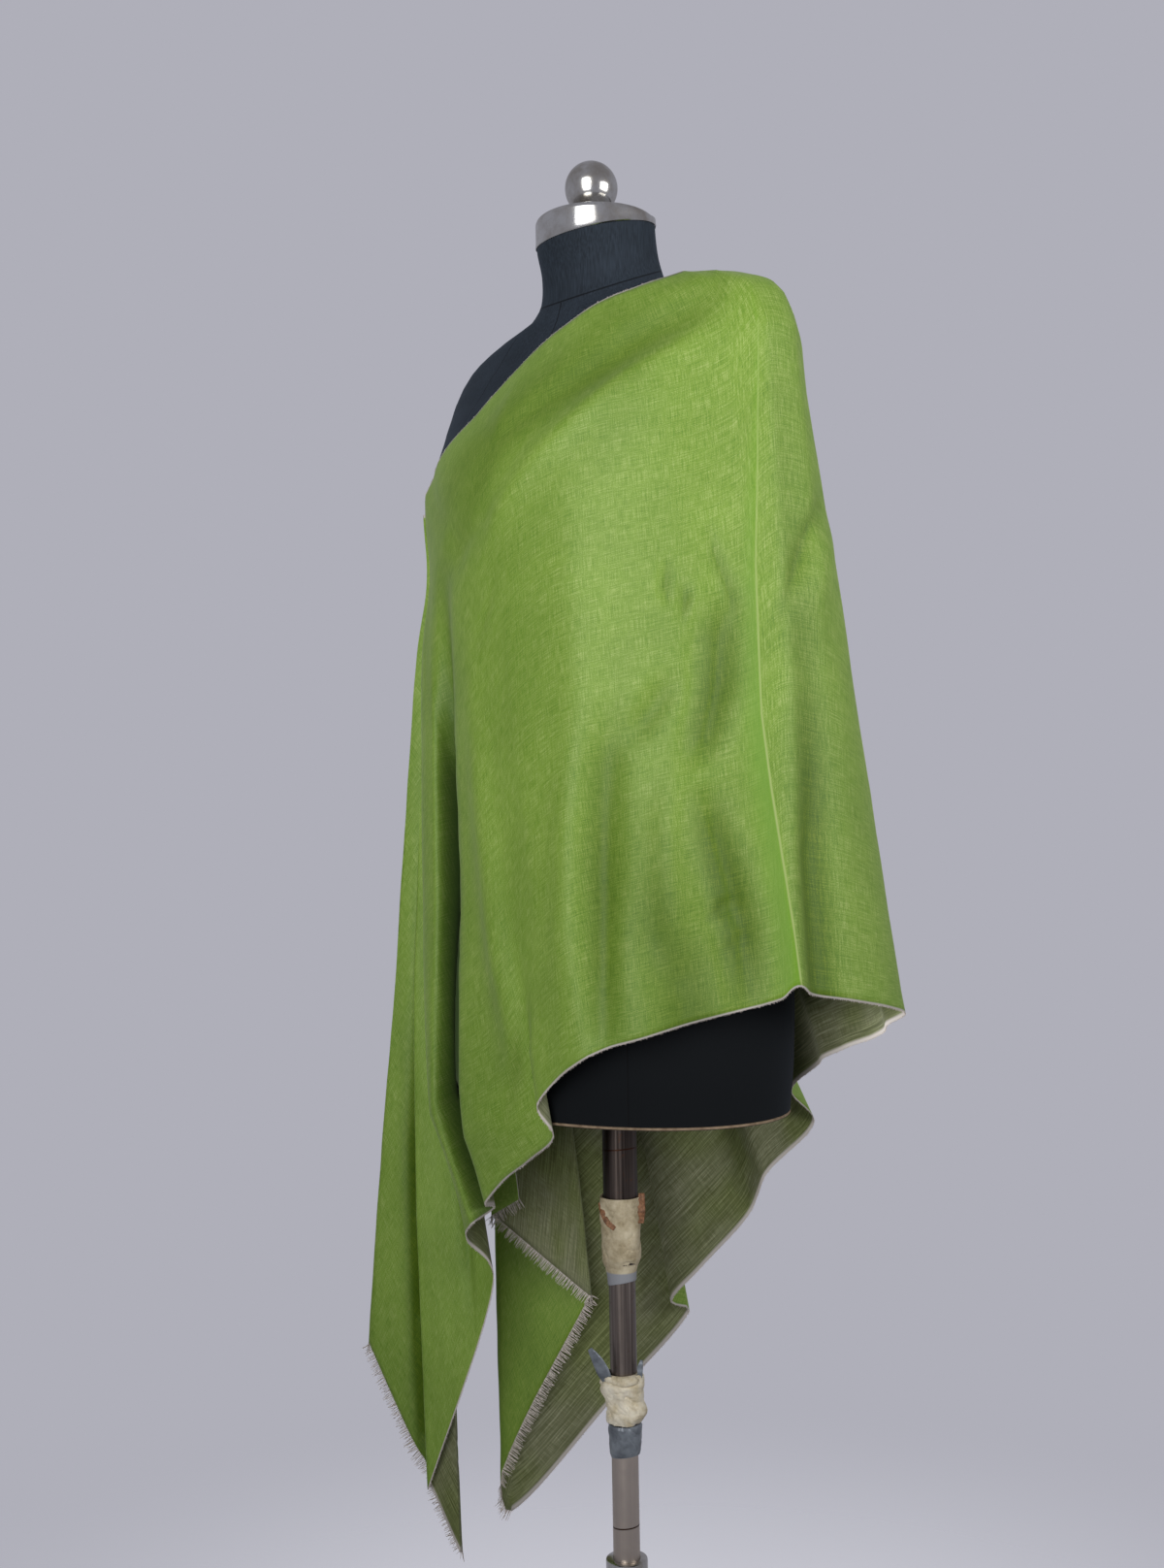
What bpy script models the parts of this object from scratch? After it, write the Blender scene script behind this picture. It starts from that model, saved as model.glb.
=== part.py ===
"""Evening stole on a dress form, metres, +Z up, origin under the middle of the base.

The form faces -Y, so the wearer's left shoulder is at +X. One oblong of fine wool lies with the
middle of its length on the left shoulder. Its halves cross the chest and the back to the right
underarm, where their top edges are gathered, and from there both ends hang in cascades.
"""
import math

import bmesh
import bpy
from mathutils import Vector

# Cloth, in metres
CLOTH_WIDTH = 0.68
CLOTH_LENGTH = 2.25
WALL = 0.0012
SEAM_GAP = 0.0003
FRINGE_GAP = 0.0006
BIAS_STRETCH = 0.05     # how much the weave lengthens where it hangs on the bias
TOP_RUN = 0.44          # cloth along the top edge between the shoulder and the underarm pin
TAIL = CLOTH_LENGTH / 2 - TOP_RUN
GATHER_ALONG = 0.20     # how far the gathered folds run at the pin, of their run below
GATHER_ACROSS = 0.55    # how far they stand apart there, of their depth below
TURN = 0.0035           # radius of a folded edge in the cascades
TURN_RUN = 0.009        # cloth that goes round it
SHARP_TURN = 30         # degrees; a fold tighter than this gets the radius
CORNER_ANGLE = 45.2     # where the fan of folds passes from the hem to the short edge
CLOTH_ROWS = 13
COLUMN_WIDTH = 0.024     # of the cloth between two columns of points, at most
STRAND_STEP = 0.007         # along the edge; every other step has a strand
STRIP_DEPTH = 0.003
STRAND_LENGTH = 0.011
STRAND_TAPER = 0.35
STRAND_DROOP = 0.15
STRAND_TURN = 0.5           # radians of fold between two strands; a tighter fold has no strand

# Dress form and stand, in metres
HIP_HEIGHT = 0.80
BALL_RADIUS = 0.024
UPPER_TUBE_RADIUS = 0.016
LOWER_TUBE_RADIUS = 0.0123
BASE_RADIUS = 0.185
BOARD_THICKNESS = 0.006
UPPER_TUBE_END = -0.149     # heights of the stand's joints, from the hip board
COLLAR_TOP = -0.420
COLLAR_END = -0.455
FORM_LEAN = 3.0             # degrees that the shoulders hang lower on the form's right
CAP_RIM = 0.8005            # top edge of the neck cap
BALL_CENTRE = 0.8305
BALL_FORWARD = -0.016

# Form sections: height above the hip board, half width, depth to the front, depth to the back,
# centre forward (-) or back (+), slope of the section in degrees (front low)
FORM_COLUMNS = ("height", "half_width", "front", "back", "centre", "slope")
FORM_ROWS = [
    (0.000, 0.172, 0.122, 0.122, 0.000, 0),
    (0.040, 0.175, 0.123, 0.127, 0.000, 0),
    (0.110, 0.175, 0.120, 0.131, 0.000, 0),
    (0.190, 0.164, 0.112, 0.122, 0.000, 0),
    (0.280, 0.140, 0.102, 0.100, 0.000, 0),
    (0.350, 0.126, 0.100, 0.088, 0.000, 0),
    (0.420, 0.132, 0.112, 0.092, 0.000, 0),
    (0.490, 0.150, 0.134, 0.104, 0.000, 0),
    (0.540, 0.166, 0.142, 0.112, 0.000, 0),
    (0.590, 0.184, 0.130, 0.116, 0.000, 0),
    (0.636, 0.190, 0.101, 0.110, 0.002, 0),
    (0.664, 0.186, 0.084, 0.098, 0.002, 0),
    (0.681, 0.179, 0.074, 0.086, 0.002, 0),
    (0.694, 0.167, 0.068, 0.079, 0.002, 0),
    (0.702, 0.151, 0.064, 0.075, 0.002, 1),
    (0.709, 0.124, 0.061, 0.071, 0.001, 2),
    (0.717, 0.084, 0.0575, 0.067, 0.000, 4),
    (0.732, 0.061, 0.054, 0.061, -0.002, 6),
    (0.758, 0.0535, 0.0525, 0.055, -0.006, 9),
    (0.786, 0.054, 0.054, 0.054, -0.011, 12),
]

# Ribs of the cloth: threads that run across it, from the top edge down to the hem. Each has its
# place along the top edge from the shoulder, the point where it starts (height above the hip
# board), the place of its foot, its clearance from the form, and the share of its length that
# small cross folds take up.
RIB_COLUMNS = ("along", "top_x", "top_y", "top_height", "foot_x", "foot_y", "clear", "slack")
FRONT_RIBS = [
    (0.010, 0.098, -0.010, 0.730, 0.242, -0.030, 0.010, -0.01),
    (0.020, 0.095, -0.018, 0.727, 0.235, -0.045, 0.010, 0.032),
    (0.030, 0.090, -0.026, 0.722, 0.225, -0.053, 0.009, 0.055),
    (0.075, 0.069, -0.046, 0.7095, 0.185, -0.092, 0.006, 0.070),
    (0.135, 0.045, -0.062, 0.6995, 0.142, -0.124, 0.005, 0.060),
    (0.200, 0.010, -0.072, 0.680, 0.097, -0.141, 0.005, 0.063),
    (0.275, -0.026, -0.087, 0.6485, 0.035, -0.143, 0.005, 0.050),
    (0.315, -0.060, -0.100, 0.619, 0.034, -0.118, 0.006, 0.051),
    (0.355, -0.104, -0.104, 0.580, -0.003, -0.115, 0.007, 0.072),
    (0.400, -0.156, -0.078, 0.568, -0.040, -0.112, 0.014, 0.050),
]
BACK_RIBS = [
    (0.010, 0.098, -0.010, 0.730, 0.242, -0.030, 0.010, -0.01),
    (-0.010, 0.104, 0.010, 0.732, 0.247, 0.012, 0.011, -0.02),
    (-0.050, 0.092, 0.042, 0.726, 0.250, 0.066, 0.010, 0.010),
    (-0.100, 0.045, 0.068, 0.714, 0.238, 0.112, 0.006, 0.018),
    (-0.160, -0.005, 0.084, 0.696, 0.190, 0.150, 0.005, 0.00),
    (-0.220, -0.055, 0.098, 0.668, 0.135, 0.172, 0.005, 0.015),
    (-0.290, -0.110, 0.104, 0.636, 0.085, 0.192, 0.005, 0.025),
    (-0.370, -0.150, 0.094, 0.606, 0.044, 0.207, 0.008, 0.020),
]
# Ribs of the two cascades: they fan out from the pin, each at its angle in the cloth
FAN_COLUMNS = ("angle", "foot_x", "foot_y", "clear", "bow")
FRONT_PIN = {"x": -0.215, "y": 0.000, "height": 0.562, "folds_run": 195, "stacked_from": 0}
FRONT_FAN = [
    (4.0, -0.097, -0.100, 0.032, 0.000),
    (12.0, -0.134, -0.074, 0.020, 0.000),
    (22.0, -0.139, -0.036, 0.008, 0.000),
    (41.5, -0.202, -0.061, 0.006, 0.020),
    (45.2, -0.180, -0.041, 0.006, 0.008),
    (59.5, -0.278, -0.068, 0.006, 0.000),
    (70.0, -0.222, -0.030, 0.006, 0.000),
    (90.0, -0.268, -0.022, 0.006, 0.000),
]
BACK_PIN = {"x": -0.205, "y": 0.040, "height": 0.566, "folds_run": 223, "stacked_from": 40}
BACK_FAN = [
    (3.0, 0.037, 0.255, 0.030, 0.000),
    (14.0, 0.012, 0.205, 0.028, 0.000),
    (21.0, -0.011, 0.205, 0.028, 0.000),
    (26.0, -0.035, 0.155, 0.026, 0.000),
    (29.5, -0.065, 0.145, 0.026, 0.000),
    (31.5, -0.066, 0.176, 0.026, 0.000),
    (38.5, -0.128, 0.120, 0.024, 0.000),
    (45.2, -0.202, 0.050, 0.022, 0.000),
    (48.0, -0.198, 0.033, 0.018, 0.000),
    (63.5, -0.118, 0.083, 0.012, 0.000),
    (80.0, -0.180, 0.008, 0.007, 0.000),
    (90.0, -0.155, 0.022, 0.006, 0.000),
]

# The stretches of the cloth that show, each to its end along the cloth from the shoulder
STRETCHES = [
    ("stole_back_end", -0.800),
    ("stole_back_panel", -0.110),
    ("stole_side_panel", 0.010),
    ("stole_front_panel", 0.390),
    ("stole_front_end", 9.0),
]

FORM_RINGS = 30
FORM_SEGMENTS = 32
RIB_STEPS = 40          # points at which a rib is tested against the form
RIB_HALVINGS = 24       # of the range that the height of a rib's foot is sought in
ARM_PLANE = 0.1860      # where each arm end is cut flat for its plate
PLATE_THICKNESS = 0.004
PLATE_EDGE = 0.0015     # the plate's outer face narrows over this depth
PLATE_EDGE_SCALE = 0.96
PLATE_SEGMENTS = 28
PLATE_HEIGHT = 0.634    # middle of the arm plate, above the hip board
PLATE_HALF_HEIGHT = 0.030
PLATE_HALF_BREADTH = 0.026
BOARD_EDGE = 0.001      # inset of the hip board's edge, and its rounding below

# Turned parts, from the top down or from the axis out, as (radius, height from the hip board)
CAP_GROW = 0.0008       # how far the cap's lower rim stands out from the neck
CAP_LIFT = 0.00036      # and above it
CAP_PROFILE = [(0.0548, CAP_RIM - 0.003), (0.0535, CAP_RIM - 0.0008), (0.0515, CAP_RIM),
               (0.0340, CAP_RIM + 0.004), (0.0120, CAP_RIM + 0.0055)]
BALL_STEM = [(0.0105, CAP_RIM + 0.0058), (0.0085, CAP_RIM + 0.0085)]
BALL_STEPS = 11
WRAP_TOP = -0.088
WRAP_END = -0.168
UPPER_WRAP = [(0.0180, WRAP_TOP), (0.0196, -0.094), (0.0198, -0.122), (0.0180, -0.140), (0.0150, -0.154),
              (0.0144, WRAP_END)]
LOWER_WRAP = [(0.0170, -0.250), (0.0200, -0.258), (0.0212, -0.275), (0.0185, -0.290), (0.0172, -0.2955)]
DUCT_BAND = [(0.0158, -0.2960), (0.0164, -0.300), (0.0160, -0.322), (0.0150, -0.326)]
COLLAR = [(0.0178, COLLAR_TOP), (0.0192, COLLAR_TOP - 0.002), (0.0192, COLLAR_END + 0.002),
          (0.0178, COLLAR_END)]

# The foot, as (radius, height over the floor)
FOOT_TOP = 0.028
BASE_PROFILE = [(BASE_RADIUS - 0.003, 0.0), (BASE_RADIUS, 0.003), (BASE_RADIUS, 0.009),
                (BASE_RADIUS - 0.003, 0.012), (0.034, 0.0135), (0.028, 0.017), (0.024, FOOT_TOP)]
BASE_SEGMENTS = 48
TUBE_SEGMENTS = 24


def clear_scene():
    for old in list(bpy.data.objects):
        bpy.data.objects.remove(old, do_unlink=True)


def material(name, colour, roughness, metallic=0.0):
    made = bpy.data.materials.new(name)
    made.use_nodes = True
    shader = made.node_tree.nodes["Principled BSDF"]
    shader.inputs["Base Color"].default_value = (*colour, 1.0)
    shader.inputs["Roughness"].default_value = roughness
    shader.inputs["Metallic"].default_value = metallic
    made.diffuse_color = (*colour, 1.0)
    return made


def add_object(name, bm, look, smooth_angle=40):
    mesh = bpy.data.meshes.new(name)
    bm.to_mesh(mesh)
    bm.free()
    mesh.shade_smooth()
    mesh.set_sharp_from_angle(angle=math.radians(smooth_angle))
    mesh.materials.append(look)
    made = bpy.data.objects.new(name, mesh)
    bpy.context.scene.collection.objects.link(made)
    return made


def spline(a, b, c, d, t):
    """Catmull-Rom value between b and c."""
    return 0.5 * (2 * b + (c - a) * t + (2 * a - 5 * b + 4 * c - d) * t * t
                  + (3 * b - a - 3 * c + d) * t ** 3)


def form_section(height):
    """The form's section at a height above the hip board, by column name."""
    heights = [row[0] for row in FORM_ROWS]
    height = min(max(height, heights[0]), heights[-1])
    low = max(i for i in range(len(heights) - 1) if heights[i] <= height)
    share = (height - heights[low]) / (heights[low + 1] - heights[low])
    rows = [FORM_ROWS[min(max(low + k, 0), len(FORM_ROWS) - 1)] for k in (-1, 0, 1, 2)]
    values = [spline(*column, share) for column in zip(*rows)]
    return dict(zip(FORM_COLUMNS, [height] + values[1:]))


def lean_rise(x, height):
    """How much the form's lean lifts a point at x; it grows from the hip to the shoulders."""
    return x * math.tan(math.radians(FORM_LEAN)) * min(max(height, 0) / 0.69, 1)


def form_point(section, angle, grow=0.0):
    """A point of the section at an angle from +X, in the part's frame."""
    side = math.sin(angle)
    depth = section["front"] if side < 0 else section["back"]
    x = (section["half_width"] + grow) * math.cos(angle)
    y = (depth + grow) * side
    z = HIP_HEIGHT + section["height"] + y * math.tan(math.radians(section["slope"]))
    z += lean_rise(x, section["height"])
    return Vector((x, y + section["centre"], z))


def bridge_rings(bm, rings):
    for low, high in zip(rings, rings[1:]):
        for i in range(len(low)):
            k = (i + 1) % len(low)
            bm.faces.new((low[i], low[k], high[k], high[i]))


def loft(rings):
    """A closed body through rings of points, capped flat at both ends."""
    bm = bmesh.new()
    made = [[bm.verts.new(p) for p in ring] for ring in rings]
    bridge_rings(bm, made)
    bm.faces.new(list(reversed(made[0])))
    bm.faces.new(made[-1])
    bmesh.ops.recalc_face_normals(bm, faces=bm.faces)
    return bm


def turned(profile, segments=32, centre=(0.0, 0.0)):
    """A solid of revolution from (radius, height) pairs, closed on its axis."""
    bm = bmesh.new()
    rings = []
    for radius, height in profile:
        ring = []
        for i in range(segments):
            angle = 2 * math.pi * i / segments
            place = (centre[0] + radius * math.cos(angle), centre[1] + radius * math.sin(angle), height)
            ring.append(bm.verts.new(place))
        rings.append(ring)
    bridge_rings(bm, rings)
    bm.faces.new(list(reversed(rings[0])))
    bm.faces.new(rings[-1])
    bmesh.ops.recalc_face_normals(bm, faces=bm.faces)
    return bm


def make_torso(look):
    top = FORM_ROWS[-1][0]
    rings = []
    for i in range(FORM_RINGS + 1):
        section = form_section(top * i / FORM_RINGS)
        angles = [2 * math.pi * k / FORM_SEGMENTS for k in range(FORM_SEGMENTS)]
        rings.append([form_point(section, angle) for angle in angles])
    bm = loft(rings)
    for side in (-1, 1):
        geometry = bm.verts[:] + bm.edges[:] + bm.faces[:]
        cut = bmesh.ops.bisect_plane(bm, geom=geometry, plane_co=(side * ARM_PLANE, 0, 0),
                                     plane_no=(side, 0, 0), clear_outer=True)
        edges = [e for e in cut["geom_cut"] if isinstance(e, bmesh.types.BMEdge)]
        bmesh.ops.holes_fill(bm, edges=edges, sides=0)
    bmesh.ops.recalc_face_normals(bm, faces=bm.faces)
    return add_object("form_torso", bm, look)


def form_reach(height, angle):
    """How far the form reaches from the pole's line at a height and an angle."""
    if height < 0:
        return 0.0
    section = form_section(height)
    section = form_section(height - lean_rise(section["half_width"] * math.cos(angle), height))
    depth = section["front"] if math.sin(angle) < 0 else section["back"]
    across = math.cos(angle) / section["half_width"]
    along = math.sin(angle) / depth
    reach = 1 / math.hypot(across, along) + abs(section["centre"])
    rise = (height - PLATE_HEIGHT - lean_rise(ARM_PLANE * math.cos(angle), height)) / PLATE_HALF_HEIGHT
    if abs(rise) < 1:
        plate = ARM_PLANE + SEAM_GAP + PLATE_THICKNESS
        breadth = PLATE_HALF_BREADTH * math.sqrt(1 - rise * rise)
        if abs(math.tan(angle)) * plate < breadth:
            reach = max(reach, plate / abs(math.cos(angle)))
    return reach


def taut(profile):
    """The upper hull of (drop, reach) pairs, as a pulled cloth spans a hollow."""
    hull = []
    for point in profile:
        while len(hull) > 1:
            (x0, y0), (x1, y1) = hull[-2:]
            if (x1 - x0) * (point[1] - y0) >= (point[0] - x0) * (y1 - y0):
                hull.pop()
            else:
                break
        hull.append(point)
    return hull


def rib_path(top, foot, clear, foot_height, bow):
    """Points of a rib that falls over the form from its top point to a foot."""
    turn_top = math.atan2(top[1], top[0])
    turn = math.atan2(foot[1], foot[0]) - turn_top
    turn = (turn + math.pi) % (2 * math.pi) - math.pi
    drop = top[2] - foot_height
    profile = []
    for i in range(RIB_STEPS + 1):
        share = i / RIB_STEPS
        height = top[2] - drop * share
        reach = 0.0
        if height > -2 * BOARD_THICKNESS:
            reach = form_reach(max(height - clear, 0), turn_top + turn * share) + clear
        if i == 0:
            reach = max(reach, math.hypot(top[0], top[1]))
        if i == RIB_STEPS:
            reach = max(reach, math.hypot(foot[0], foot[1]))
        profile.append((share, reach))
    hull = taut(profile)
    path = []
    for share, reach in profile:
        k = max(i for i in range(len(hull) - 1) if hull[i][0] <= share)
        (x0, y0), (x1, y1) = hull[k:k + 2]
        reach = y0 + (y1 - y0) * (share - x0) / (x1 - x0) + bow * math.sin(math.pi * share)
        angle = turn_top + turn * share
        height = HIP_HEIGHT + top[2] - drop * share
        path.append(Vector((reach * math.cos(angle), reach * math.sin(angle), height)))
    return path


def path_length(path):
    return sum((b - a).length for a, b in zip(path, path[1:]))


def rib(top, foot, clear, length, bow=0.0):
    """A rib of a given length, as evenly spaced points down to the hem."""
    high, low = top[2] - 0.2 * length, top[2] - length
    for _ in range(RIB_HALVINGS):
        middle = (high + low) / 2
        if path_length(rib_path(top, foot, clear, middle, bow)) < length:
            high = middle
        else:
            low = middle
    path = rib_path(top, foot, clear, low, bow)
    total = path_length(path)
    points = []
    walked, k = 0.0, 0
    for row in range(CLOTH_ROWS + 1):
        target = total * row / CLOTH_ROWS
        while k < len(path) - 2 and walked + (path[k + 1] - path[k]).length < target:
            walked += (path[k + 1] - path[k]).length
            k += 1
        span = (path[k + 1] - path[k]).length
        points.append(path[k].lerp(path[k + 1], (target - walked) / span))
    return points


def fan_length(degrees):
    """Cloth between the pin and the edge at an angle, with its stretch on the bias."""
    angle = math.radians(degrees)
    to_hem = CLOTH_WIDTH / math.cos(angle) if degrees < 89 else 9.0
    to_end = TAIL / math.sin(angle) if degrees > 1 else 9.0
    return min(to_hem, to_end) * (1 + BIAS_STRETCH * math.sin(2 * angle) ** 2)


def panel_ribs(rows):
    made = []
    for row in rows:
        at = dict(zip(RIB_COLUMNS, row))
        top = (at["top_x"], at["top_y"], at["top_height"])
        length = CLOTH_WIDTH * (1 - at["slack"])
        points = rib(top, (at["foot_x"], at["foot_y"]), at["clear"], length)
        made.append((abs(at["along"] - FRONT_RIBS[0][0]), points))
    return made


def fan_ribs(rows, pin):
    made = []
    run = math.radians(pin["folds_run"])
    along = Vector((math.cos(run), math.sin(run)))
    across = Vector((-along.y, along.x))
    for row in rows:
        at = dict(zip(FAN_COLUMNS, row))
        foot = Vector((at["foot_x"], at["foot_y"]))
        spread = foot - Vector((pin["x"], pin["y"]))
        depth = GATHER_ACROSS if at["angle"] > pin["stacked_from"] else GATHER_ALONG
        top = foot - spread + along * GATHER_ALONG * spread.dot(along) + across * depth * spread.dot(across)
        points = rib((top.x, top.y, pin["height"]), foot, at["clear"], fan_length(at["angle"]), at["bow"])
        made.append((TOP_RUN + CLOTH_WIDTH * math.radians(at["angle"]), points))
    return made


def rounded_turns(ribs):
    """The ribs with every sharp fold split into two, a radius apart; a corner keeps its own rib."""
    made = [ribs[0]]
    corner = TOP_RUN + CLOTH_WIDTH * math.radians(CORNER_ANGLE)
    for before, here, after in zip(ribs, ribs[1:], ribs[2:]):
        to_before = (before[1][-1] - here[1][-1]).to_2d().normalized()
        to_after = (after[1][-1] - here[1][-1]).to_2d().normalized()
        if math.degrees(to_before.angle(to_after)) > SHARP_TURN:
            made.append(here)
            continue
        way = (to_after - to_before).normalized() * TURN
        for side in (-1, 0, 1):
            if side != 0 or abs(abs(here[0]) - corner) < TURN_RUN / 2:
                shift = Vector((way.x, way.y, 0)) * side
                made.append((here[0] + side * TURN_RUN / 2, [point + shift for point in here[1]]))
    made.append(ribs[-1])
    return made


def sheet_column(ribs, place):
    """The column of points at a place counted in ribs, rounded from rib to rib."""
    k = min(int(place), len(ribs) - 2)
    share = place - k
    start, end = ribs[k][0], ribs[k + 1][0]
    span = end - start
    column = []
    for row in range(CLOTH_ROWS + 1):
        here, there = ribs[k][1][row], ribs[k + 1][1][row]
        before = ribs[max(k - 1, 0)]
        after = ribs[min(k + 2, len(ribs) - 1)]
        slope_here = (there - before[1][row]) * (span / (end - before[0]))
        slope_there = (after[1][row] - here) * (span / (after[0] - start))
        cubic = share ** 3
        square = share ** 2
        column.append((2 * cubic - 3 * square + 1) * here + (cubic - 2 * square + share) * slope_here
                      + (3 * square - 2 * cubic) * there + (cubic - square) * slope_there)
    return column


def sheet_places(ribs):
    """Where the columns of the sheet stand, counted in ribs."""
    places = []
    for k, (here, there) in enumerate(zip(ribs, ribs[1:])):
        count = max(2, math.ceil((there[0] - here[0]) / COLUMN_WIDTH))
        places += [k + i / count for i in range(count)]
    return places + [len(ribs) - 1]


def grid_normals(grid):
    normals = []
    for i, column in enumerate(grid):
        line = []
        for k in range(len(column)):
            along = grid[min(i + 1, len(grid) - 1)][k] - grid[max(i - 1, 0)][k]
            down = column[min(k + 1, len(column) - 1)] - column[max(k - 1, 0)]
            line.append(along.cross(down).normalized())
        normals.append(line)
    return normals


def wall(grid, normals, thickness=WALL):
    """A closed wall on both sides of a grid of points."""
    bm = bmesh.new()
    half = thickness / 2
    sides = []
    for side in (half, -half):
        sides.append([[bm.verts.new(p + n * side) for p, n in zip(column, line)]
                      for column, line in zip(grid, normals)])
    outer, inner = sides
    last, bottom = len(grid) - 1, len(grid[0]) - 1
    for i in range(last):
        for k in range(bottom):
            bm.faces.new((outer[i][k], outer[i][k + 1], outer[i + 1][k + 1], outer[i + 1][k]))
            bm.faces.new((inner[i][k], inner[i + 1][k], inner[i + 1][k + 1], inner[i][k + 1]))
    for i in range(last):
        bm.faces.new((outer[i][0], outer[i + 1][0], inner[i + 1][0], inner[i][0]))
        bm.faces.new((outer[i][bottom], inner[i][bottom], inner[i + 1][bottom], outer[i + 1][bottom]))
    for k in range(bottom):
        bm.faces.new((outer[0][k], inner[0][k], inner[0][k + 1], outer[0][k + 1]))
        bm.faces.new((outer[last][k], outer[last][k + 1], inner[last][k + 1], inner[last][k]))
    bmesh.ops.recalc_face_normals(bm, faces=bm.faces)
    return bm


def stretch(name, grid, normals, first, last, look):
    """One stretch of the cloth, drawn back by half a seam gap where it meets the next."""
    columns = [list(column) for column in grid[first:last + 1]]
    lines = normals[first:last + 1]
    for end, beside in ((0, 1), (-1, -2)):
        if (end == 0 and first == 0) or (end == -1 and last == len(grid) - 1):
            continue
        for k, point in enumerate(columns[end]):
            inward = (columns[beside][k] - point).normalized()
            columns[end][k] = point + inward * (SEAM_GAP / 2)
    return add_object(name, wall(columns, lines), look, smooth_angle=60)


def rib_number(ribs, along):
    """The number of the rib nearest to a place along the cloth."""
    return min(range(len(ribs)), key=lambda i: abs(ribs[i][0] - along))


def make_cloth(look):
    front = panel_ribs(FRONT_RIBS) + fan_ribs(FRONT_FAN, FRONT_PIN)
    back = panel_ribs(BACK_RIBS) + fan_ribs(BACK_FAN, BACK_PIN)
    whole = rounded_turns([(-along, points) for along, points in reversed(back)] + front[1:])
    places = sheet_places(whole)
    grid = [sheet_column(whole, place) for place in places]
    normals = grid_normals(grid)
    last = 0
    for name, end in STRETCHES:
        first, last = last, places.index(rib_number(whole, end))
        stretch(name, grid, normals, first, last, look)
    return whole


def edge_frames(ribs, first, last):
    """The cloth's lower edge from a corner's rib to another, in steps, with its outward ways and normals."""
    low, high = sorted((first, last))
    places = [place for place in sheet_places(ribs) if low <= place <= high]
    if first > last:
        places.reverse()
    columns = [sheet_column(ribs, place)[-2:] for place in places]
    line = []
    for (above, here), (next_above, there) in zip(columns, columns[1:]):
        count = max(1, round((there - here).length / STRAND_STEP))
        for i in range(count):
            line.append((here.lerp(there, i / count), (here - above).lerp(there - next_above, i / count)))
    line.append((columns[-1][1], columns[-1][1] - columns[-1][0]))
    frames = []
    for i in range(1, len(line)):
        tangent = (line[min(i + 1, len(line) - 1)][0] - line[i - 1][0]).normalized()
        normal = tangent.cross(line[i][1]).normalized()
        away = normal.cross(tangent)
        away = (away if away.dot(line[i][1]) > 0 else -away).normalized()
        frames.append((line[i][0], away, normal))
    return frames


def make_fringe(name, ribs, first, last, look):
    """A narrow strip along the cloth's short edge, with a strand drawn out of every other face."""
    frames = edge_frames(ribs, first, last)
    rows = (FRINGE_GAP, FRINGE_GAP + STRIP_DEPTH)
    grid = [[point + away * row for row in rows] for point, away, _ in frames]
    normals = [[normal] * len(rows) for _, _, normal in frames]
    bm = wall(grid, normals)
    steps = len(frames) - 1
    lower_faces = list(bm.faces)[2 * steps + 1:4 * steps:2]
    for i in range(0, steps, 2):
        if frames[i][2].angle(frames[i + 1][2]) > STRAND_TURN:
            continue
        made = bmesh.ops.extrude_discrete_faces(bm, faces=[lower_faces[i]])
        tip = made["faces"][0]
        away = (frames[i][1] + frames[i + 1][1]).normalized()
        hang = Vector((0, 0, -STRAND_DROOP))
        centre = tip.calc_center_median()
        for vert in tip.verts:
            vert.co = centre + (vert.co - centre) * STRAND_TAPER + (away + hang).normalized() * STRAND_LENGTH
    bmesh.ops.recalc_face_normals(bm, faces=bm.faces)
    return add_object(name, bm, look, smooth_angle=30)


def ring_body(profile, segments=TUBE_SEGMENTS):
    """A turned sleeve from a closed loop of (radius, height) pairs round its wall."""
    bm = bmesh.new()
    rings = []
    for radius, height in profile:
        turn = [2 * math.pi * i / segments for i in range(segments)]
        rings.append([bm.verts.new((radius * math.cos(a), radius * math.sin(a), height)) for a in turn])
    bridge_rings(bm, rings + rings[:1])
    bmesh.ops.recalc_face_normals(bm, faces=bm.faces)
    return bm


def from_board(profile):
    """Heights given from the hip board, turned into heights over the floor."""
    return [(radius, HIP_HEIGHT + height) for radius, height in profile]


def make_sleeve(name, outer, bore, look):
    """A sleeve on the pole; outer is (radius, height) from the top down, bore the radius inside."""
    top, low = outer[0][1], outer[-1][1]
    add_object(name, ring_body(from_board([*outer, (bore, low), (bore, top)])), look)


def make_arm_plates(look):
    near = ARM_PLANE + SEAM_GAP
    far = near + PLATE_THICKNESS
    for name, side in (("arm_plate_left", 1), ("arm_plate_right", -1)):
        rings = []
        for reach, grow in ((near, 1.0), (far - PLATE_EDGE, 1.0), (far, PLATE_EDGE_SCALE)):
            ring = []
            for i in range(PLATE_SEGMENTS):
                angle = 2 * math.pi * i / PLATE_SEGMENTS
                y = PLATE_HALF_BREADTH * grow * math.cos(angle)
                z = PLATE_HEIGHT + PLATE_HALF_HEIGHT * grow * math.sin(angle)
                z += lean_rise(side * ARM_PLANE, PLATE_HEIGHT)
                ring.append(Vector((side * reach, y, HIP_HEIGHT + z)))
            rings.append(ring)
        add_object(name, loft(rings), look)


def make_neck_cap(look):
    top = form_section(FORM_ROWS[-1][0])
    angles = [2 * math.pi * k / FORM_SEGMENTS for k in range(FORM_SEGMENTS)]
    lift = Vector((0, 0, CAP_LIFT))
    rings = [[form_point(top, angle, CAP_GROW) + lift for angle in angles]]
    for radius, height in from_board(CAP_PROFILE):
        rings.append([Vector((radius * math.cos(a), top["centre"] + radius * math.sin(a), height))
                      for a in angles])
    add_object("neck_cap", loft(rings), look)


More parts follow.
